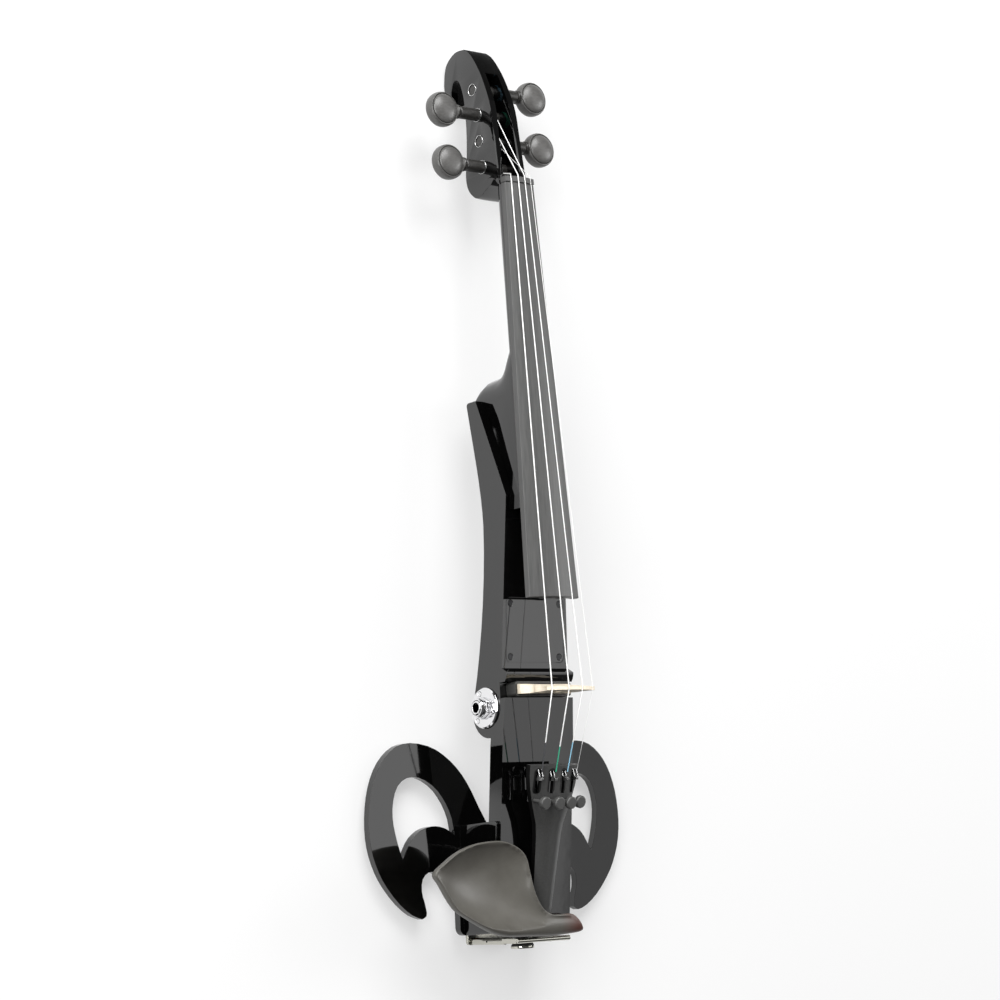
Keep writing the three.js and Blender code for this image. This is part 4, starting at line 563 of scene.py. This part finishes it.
tray, tree, shader = finish("moulded_tray", (0.03, 0.03, 0.028), 0.4)
speckle = grain(tree, 1500)
tree.links.new(graded(tree, speckle, 0.33, 0.45), shader.inputs["Roughness"])
raised(tree, shader, speckle, 0.08, 0.0001)
covered("moulded", "pickup_base", 0.0003, tray, segments=2)

# ---------------------------------------------------------------------------
# Tailpiece: a crowned shell of satin composite with four round-ended slots for
# the strings, its flanks and the wells round its slots painted black as shade,
# held over the saddle by a loop of black nylon on the end button.
# ---------------------------------------------------------------------------
tail_satin, tree, shader = finish("satin_tailpiece", (0.045, 0.045, 0.044), 0.42)
mist = grain(tree, 1200)
tail_colour = blended(tree, mist, (0.038, 0.038, 0.037), (0.052, 0.052, 0.051))
tree.links.new(tail_colour, shader.inputs["Base Color"])
tree.links.new(graded(tree, mist, 0.36, 0.46), shader.inputs["Roughness"])
raised(tree, shader, mist, 0.06, 0.0001)
for node in ["saddle", "end_button"]:
    covered("satin", node, 0.0003, tail_satin)

# Painted shade: the four wells round the slots are painted dead black, for the
# shade down in them
well_shaded_satin = tail_satin.copy()
well_shaded_satin.name = "satin_tailpiece_painted_well_shade"
tree = well_shaded_satin.node_tree
shader = tree.nodes["Principled BSDF"]
well_pitch, well_half, well_radius, well_edge = 0.0096, 0.0053, 0.0026, 0.0001
well_middle = -0.1884
spot = place_on(tree)
aside = reckoned(tree, "SUBTRACT", well_pitch / 2,
                 reckoned(tree, "PINGPONG", spot["X"], well_pitch / 2))
beyond = reckoned(tree, "ABSOLUTE", reckoned(tree, "SUBTRACT", spot["Y"], well_middle))
beyond = reckoned(tree, "MAXIMUM", reckoned(tree, "SUBTRACT", beyond, well_half), 0)
reach = reckoned(tree, "SQRT", reckoned(tree, "ADD", reckoned(tree, "MULTIPLY", aside, aside),
                                        reckoned(tree, "MULTIPLY", beyond, beyond)))
well_shade_share = graded(tree, reach, 1, 0, well_radius - well_edge, well_radius + well_edge)
round_well = shader.inputs["Base Color"].links[0].from_socket
tree.links.new(mixed(tree, well_shade_share, round_well, dead_black), shader.inputs["Base Color"])
tailpiece = covered("satin", "tailpiece", 0.0005, well_shaded_satin)

# Painted shade: the faces of the tailpiece that turn sideways are painted dead black, as its
# flanks in shade
flank_painted_shade, tree, shader = finish("tailpiece_flank_painted_shade", dead_black, 0.4, ior=1.2)
tree.links.new(graded(tree, grain(tree, 600), 0.34, 0.46), shader.inputs["Roughness"])
flank_facing = 0.62
tailpiece.data.materials.append(flank_painted_shade)
for face in tailpiece.data.polygons:
    if abs(face.normal.x) > flank_facing:
        face.material_index = 1

fibre, tree, shader = finish("black_nylon", (0.01, 0.01, 0.01), 0.3)
raised(tree, shader, grain(tree, 900), 0.05, 0.0001)
make("nylon_tailgut", shell_of("tailgut"), fibre, "instrument", ["tailgut"],
     smooth=60)

# ---------------------------------------------------------------------------
# Fine tuners: bright steel levers on one axle, each with two prongs that hold
# its string, and each pressed by a blackened screw with a knurled satin knob.
# ---------------------------------------------------------------------------
bright, tree, shader = finish("bright_steel", (0.5, 0.5, 0.5), 0.24, metal=1.0)
tree.links.new(graded(tree, grain(tree, 900), 0.14, 0.26), shader.inputs["Roughness"])
knob_black, tree, shader = finish("satin_knob", (0.085, 0.085, 0.083), 0.4, metal=0.3)
tree.links.new(graded(tree, grain(tree, 1800), 0.34, 0.48), shader.inputs["Roughness"])
prong_size, prong_edge = (0.0007, 0.005, 0.001), 0.0003
prong_spread, prong_lean = 0.0013, -14
prong_place = (-0.1835, 0.0704)
make("bright_tuner_axle", shell_of("tuner_axle"), bright, "instrument",
     ["tuner_axle"], smooth=60)
for name in "gdae":
    lever = f"tuner_lever_{name}"
    bm = shell_of(lever)
    break_edges(bm, 0.0002)
    low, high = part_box(lever)
    lean = Matrix.Rotation(radians(prong_lean), 3, "X")
    for side in (-1, 1):
        prong = bmesh.ops.create_cube(bm, size=1)["verts"]
        bmesh.ops.scale(bm, vec=prong_size, verts=prong)
        edges = {e for v in prong for e in v.link_edges}
        bmesh.ops.rotate(bm, cent=(0, 0, 0), matrix=lean, verts=prong)
        spot = ((low[0] + high[0]) / 2 + side * prong_spread, *prong_place)
        bmesh.ops.translate(bm, vec=spot, verts=prong)
        bmesh.ops.bevel(bm, geom=list(edges), offset=prong_edge, segments=2, profile=0.5,
                        affect="EDGES", material=-1)
    make(f"bright_{lever}", bm, bright, lever, [lever])
    screw = f"tuner_screw_{name}"
    covered("knob", screw, 0.0002, knob_black, body=screw, segments=2)

# ---------------------------------------------------------------------------
# Chin rest: pressed from warm grey-black composite, satin; a shallow dish with
# a thin rim on the bass side and an arm over the tail, on two cork-soled feet.
# ---------------------------------------------------------------------------
warm_satin, tree, shader = finish("warm_satin", (0.1, 0.095, 0.082), 0.4)
bloom = grain(tree, 60, detail=3)
satin_colour = blended(tree, bloom, (0.088, 0.083, 0.072), (0.112, 0.107, 0.094))
# Towards the treble end of the arm the surface goes over into brown
brown_from, brown_to, brown_most = 0.007, 0.022, 0.95
browned = graded(tree, place_on(tree)["X"], 0, brown_most, brown_from, brown_to)
tree.links.new(mixed(tree, browned, satin_colour, (0.085, 0.032, 0.024)),
               shader.inputs["Base Color"])
fine = grain(tree, 2200)
tree.links.new(graded(tree, fine, 0.35, 0.47), shader.inputs["Roughness"])
raised(tree, shader, fine, 0.07, 0.0001)

# Round the rest: the outer wall, the rim of the dish (both as shares along from the treble
# end and over from the tail) and how far the wall's top lies under the rim, mm
chin_loop_shares = [
    (1, 0.7, 0.991, 0.699, 1.0), (0.923, 0.815, 0.918, 0.803, 1.0),
    (0.835, 0.911, 0.831, 0.897, 1.0), (0.721, 0.978, 0.72, 0.963, 1.0),
    (0.584, 1, 0.585, 0.985, 1.0), (0.5, 0.972, 0.504, 0.958, 1.0),
    (0.429, 0.901, 0.435, 0.891, 1.0), (0.39, 0.803, 0.398, 0.798, 1.0),
    (0.374, 0.649, 0.382, 0.647, 1.2), (0.352, 0.457, 0.36, 0.454, 1.4),
    (0.311, 0.303, 0.318, 0.296, 1.6), (0.251, 0.228, 0.254, 0.214, 1.8),
    (0.175, 0.214, 0.176, 0.196, 2.0), (0.083, 0.217, 0.09, 0.194, 2.4),
    (0.033, 0.162, 0.058, 0.164, 2.8), (0, 0.073, 0.046, 0.147, 3.2),
    (0.008, 0.028, 0.056, 0.139, 3.8), (0.107, 0.01, 0.122, 0.137, 4.2),
    (0.24, 0.0, 0.25, 0.135, 4.6), (0.38, 0.01, 0.374, 0.098, 4.6),
    (0.525, 0.02, 0.51, 0.081, 4.2), (0.613, 0.053, 0.61, 0.102, 3.6),
    (0.686, 0.108, 0.692, 0.138, 3.0), (0.798, 0.22, 0.792, 0.228, 2.2),
    (0.888, 0.338, 0.881, 0.345, 1.5), (0.965, 0.575, 0.957, 0.579, 1.1)]
chin_long, chin_wide = 121, 60.4
chin_treble_end, chin_tail_end = 28, -479.6
chin_spine_shares = [(0.8, 0.66), (0.6, 0.6), (0.42, 0.3), (0.08, 0.11)]
# The belly under the wall: share of the way in to the spine, share of the way down
chin_belly_shares = [(0, 0.14), (0.03, 0.24), (0.12, 0.42), (0.3, 0.66), (0.54, 0.88),
                     (0.74, 1)]
chin_rim_z, chin_arm_fall = -26, 5
chin_arm_from, chin_arm_to = -16, 28
chin_bottom_z, chin_arch_z, chin_arm_bottom_z = -43, -35, -37
chin_arch_half = 10.8
# The deck under the rest, as far as it reaches: its height at a place, and its slope
chin_deck_z, chin_deck_y, chin_deck_fall, chin_deck_to = -44, -472.5, 0.1224, -31
chin_cell_size = 2.2
chin_cut_gap, chin_same_spot = 1e-4, 0.05
chin_cut_along, chin_cut_over = (-94, 28), (-480, -418)
dish_passes, dish_push, dish_depth = 420, 0.016, 11.2
loop_steps, roll_steps = 5, 6


def chin_at(along, over):
    """The place, in mm, of a share along the rest and a share over it."""
    return Vector((chin_treble_end - along * chin_long, chin_tail_end + over * chin_wide))


def rounded(rows, steps):
    """A closed curve through the rows of numbers, with steps points from each to the next."""
    found = []
    for i in range(len(rows)):
        a, b, c, d = (rows[(i + k) % len(rows)] for k in (-1, 0, 1, 2))
        for step in range(steps):
            t = step / steps
            found.append([0.5 * (2 * q + (r - p) * t + (2 * p - 5 * q + 4 * r - s) * t ** 2
                                 + (3 * q - p - 3 * r + s) * t ** 3)
                          for p, q, r, s in zip(a, b, c, d)])
    return found


def chin_rim_height(x):
    """The rim is level round the cup and falls along the arm."""
    return chin_rim_z - chin_arm_fall * ramped(x, chin_arm_from, chin_arm_to)


def chin_floor(x, y):
    """The lowest the belly may reach: over the deck, and over the end of the tailpiece."""
    over_deck = chin_bottom_z
    if x > chin_deck_to:
        over_deck = chin_deck_z + chin_deck_fall * (y - chin_deck_y)
    arch = chin_arm_bottom_z if x > 0 else chin_bottom_z
    if abs(x) < chin_arch_half:
        arch = chin_arch_z
    return max(over_deck, arch)


def nearest(path, spot):
    """The nearest place on a path: number of its point, share on to the next, and the place."""
    best = None
    for i, (a, b) in enumerate(zip(path, path[1:])):
        share = min(max((spot - a).dot(b - a) / max((b - a).length_squared, 1e-9), 0), 1)
        point = a.lerp(b, share)
        gap = (spot - point).length_squared
        if best is None or gap < best[0]:
            best = (gap, i, share, point)
    return best[1:]


chin_loop = rounded(chin_loop_shares, loop_steps)
chin_wall = [chin_at(row[0], row[1]) for row in chin_loop]
chin_rim = [chin_at(row[2], row[3]) for row in chin_loop]
chin_spine = [chin_at(*spot) for spot in chin_spine_shares]

bm = bmesh.new()
bm.faces.new([bm.verts.new((*spot, 0)) for spot in reversed(chin_rim)])
for axis, (low, high) in enumerate([chin_cut_along, chin_cut_over]):
    across = Vector([float(i == axis) for i in range(3)])
    for k in range(int((high - low) / chin_cell_size)):
        bmesh.ops.bisect_plane(bm, geom=bm.verts[:] + bm.edges[:] + bm.faces[:],
                               dist=chin_cut_gap,
                               plane_co=across * (low + (k + 0.5) * chin_cell_size),
                               plane_no=across)
bmesh.ops.remove_doubles(bm, verts=bm.verts, dist=chin_same_spot)
for v in bm.verts:
    v.co.z = chin_rim_height(v.co.x)
inside = [v for v in bm.verts if not v.is_boundary]
for turn in range(dish_passes):
    bmesh.ops.smooth_vert(bm, verts=inside, factor=0.5, use_axis_z=True)
    bmesh.ops.translate(bm, verts=inside, vec=(0, 0, -dish_push))
bmesh.ops.smooth_vert(bm, verts=inside, factor=0.5, use_axis_z=True)
deepest = max(chin_rim_height(v.co.x) - v.co.z for v in inside)
for v in inside:
    level = chin_rim_height(v.co.x)
    v.co.z = level + (v.co.z - level) * dish_depth / deepest

# Each vertex of the border keeps its rim and wall point, its height and the wall's fall
home = {}
for v in bm.verts:
    if v.is_boundary:
        i, share, point = nearest(chin_rim + chin_rim[:1], v.co.xy)
        after = (i + 1) % len(chin_rim)
        wall = chin_wall[i].lerp(chin_wall[after], share)
        fall = chin_loop[i][4] + (chin_loop[after][4] - chin_loop[i][4]) * share
        home[v] = (point, wall, v.co.z, fall)


def grown(bm, home, place):
    """The open border drawn out by one more ring, whose vertices go where place says."""
    border = [e for e in bm.edges if e.is_boundary]
    new = bmesh.ops.extrude_edge_only(bm, edges=border)["geom"]
    verts = [v for v in new if isinstance(v, bmesh.types.BMVert)]
    kept = {}
    for v in verts:
        old = next(e.other_vert(v) for e in v.link_edges if e.other_vert(v) in home)
        kept[v] = home[old]
    for v in verts:
        v.co = place(*kept[v])
    return kept


# The rim rolled over to the wall, then the belly drawn in and down towards the spine
for step in range(1, roll_steps + 1):
    angle = radians(90 * step / roll_steps)
    home = grown(bm, home, lambda rim, wall, z, fall:
                 (*rim.lerp(wall, sin(angle)), z - fall * (1 - cos(angle))))
for inward, down in chin_belly_shares:
    def belly_spot(rim, wall, z, fall):
        spot = wall.lerp(nearest(chin_spine, wall)[2], inward)
        top = z - fall
        return (*spot, min(max(top + (chin_bottom_z - top) * down, chin_floor(*spot)), top))
    home = grown(bm, home, belly_spot)
bmesh.ops.contextual_create(bm, geom=[e for e in bm.edges if e.is_boundary])
bmesh.ops.triangulate(bm, faces=[f for f in bm.faces if len(f.verts) > 4])
bmesh.ops.scale(bm, vec=(mm, mm, mm), verts=bm.verts)
bm.transform(as_it_lies)

# The two feet that stand on the corks, each as wide as its cork and set into the belly
foot_sole_up, foot_top_up, foot_slant = 0.00195, 0.0045, 0.0004
for side in ("bass", "treble"):
    pad = shell_of(f"chinrest_cork_{side}")
    low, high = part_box(f"chinrest_cork_{side}")
    middle = (low[2] + high[2]) / 2
    for v in pad.verts:
        between_faces = middle + foot_slant * (v.co.y - low[1]) / (high[1] - low[1])
        v.co.z += foot_sole_up if v.co.z < between_faces else foot_top_up
    foot = bpy.data.meshes.new("foot")
    pad.to_mesh(foot)
    pad.free()
    bm.from_mesh(foot)
    bpy.data.meshes.remove(foot)
bmesh.ops.recalc_face_normals(bm, faces=bm.faces)
make("satin_chinrest", bm, warm_satin, "instrument", ["chinrest"], smooth=40,
     flat_first=False)

cork, tree, shader = finish("cork", (0.4, 0.22, 0.1), 0.9)
crumbs = grain(tree, 1200, detail=5)
tree.links.new(blended(tree, crumbs, (0.25, 0.13, 0.06), (0.5, 0.3, 0.15)),
               shader.inputs["Base Color"])
raised(tree, shader, crumbs, 0.3, 0.0002)
for node, body in [("chinrest_cork_bass", "instrument"),
                   ("chinrest_cork_treble", "instrument"), ("clamp_cork", "clamp_foot")]:
    covered("pad", node, 0.0002, cork, body=body, segments=2)

# ---------------------------------------------------------------------------
# Plated fittings, pressed and turned from brass: the clamp behind the tail and
# the ring round the end button are nickelled, and the output jack on the bass
# flank is chromed.
# ---------------------------------------------------------------------------
chrome, tree, shader = finish("chrome", (0.86, 0.86, 0.87), 0.1, metal=1.0)
tree.links.new(graded(tree, grain(tree, 400), 0.06, 0.14), shader.inputs["Roughness"])
nickel, tree, shader = finish("nickel", (0.6, 0.59, 0.53), 0.18, metal=1.0)
tree.links.new(graded(tree, grain(tree, 400), 0.12, 0.22), shader.inputs["Roughness"])

# The clamp's upper bracket: the strap of the solid, cut off under its top bar, for which a
# round rod is set in
strap_top = 0.0486
rod_radius, rod_half, rod_edge = 0.0016, 0.0218, 0.0005
rod_spot = (0, -0.2867, 0.0489)
rim_turn, near_origin = 1, 0.01
bm = shell_of("clamp_upper_bracket")
bmesh.ops.bisect_plane(bm, geom=bm.verts[:] + bm.edges[:] + bm.faces[:], dist=cut_gap,
                       plane_co=(0, 0, strap_top), plane_no=(0, 0, 1), clear_outer=True)
bmesh.ops.holes_fill(bm, edges=[e for e in bm.edges if e.is_boundary], sides=0)
break_edges(bm, 0.0004, segments=3)
rod = bmesh.ops.create_cone(bm, cap_ends=True, segments=28, radius1=rod_radius,
                            radius2=rod_radius, depth=2 * rod_half)["verts"]
round_edges = [e for e in {e for v in rod for e in v.link_edges}
               if e.calc_face_angle() > rim_turn]
bmesh.ops.bevel(bm, geom=round_edges, offset=rod_edge, segments=3, profile=0.5,
                affect="EDGES", material=-1)
# The rod still stands at the origin, far from the strap at the tail
rod = [v for v in bm.verts if abs(v.co.y) < near_origin]
bmesh.ops.rotate(bm, cent=(0, 0, 0), matrix=Matrix.Rotation(pi / 2, 3, "Y"), verts=rod)
bmesh.ops.translate(bm, vec=rod_spot, verts=rod)
bmesh.ops.recalc_face_normals(bm, faces=bm.faces)
make("nickel_clamp_upper_bracket", bm, nickel, "instrument",
     ["clamp_upper_bracket"])

# The pressed ring round the end button: place out and radius, mm
button_ring = [(-1.4, 6.9), (-1.4, 7.5), (-0.5, 7.6), (0, 7.3), (0.1, 6.6), (-0.3, 6.3),
               (-1.4, 6.9)]
ring_out = 0.0004
bm = bmesh.new()
lathe(bm, button_ring, "z", 48)
trued(bm)
low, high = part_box("end_button")
bm.transform(Matrix.Translation((0, low[1] + ring_out, (low[2] + high[2]) / 2))
             @ Matrix.Rotation(pi / 2, 4, "X"))
make("nickel_button_ring", bm, nickel, "instrument", smooth=50)

for node in ["jack_plate", "jack_screw_1", "jack_screw_2", "jack_screw_3", "jack_socket",
             "jack_nut", "jack_ring"]:
    covered("chrome", node, 0.0003, chrome)
for node, body in [("clamp_lower_bracket", "clamp_foot"),
                   ("clamp_barrel_bass", "clamp_barrel_bass"),
                   ("clamp_barrel_treble", "clamp_barrel_treble")]:
    covered("nickel", node, 0.0003, nickel, body=body)

# ---------------------------------------------------------------------------
# Black screws of the front cover and the wing plate, and the circuit with its
# coin cell in the pocket under the cover.
# ---------------------------------------------------------------------------
black_steel, tree, shader = finish("blackened_steel", (0.03, 0.03, 0.032), 0.35, metal=0.6)
tree.links.new(graded(tree, grain(tree, 900), 0.28, 0.42), shader.inputs["Roughness"])
for place in ("cover", "wing"):
    for number in (1, 2, 3, 4):
        covered("black", f"{place}_screw_{number}", 0.0001, black_steel,
                segments=2)
circuit, tree, shader = finish("circuit_board", (0.01, 0.12, 0.04), 0.4)
tree.links.new(blended(tree, grain(tree, 600), (0.005, 0.08, 0.03), (0.02, 0.16, 0.06)),
               shader.inputs["Base Color"])
make("circuit_preamp_board", shell_of("preamp_board"), circuit, "instrument",
     ["preamp_board"])
make("bright_coin_cell", shell_of("coin_cell"), bright, "instrument", ["coin_cell"],
     smooth=60)
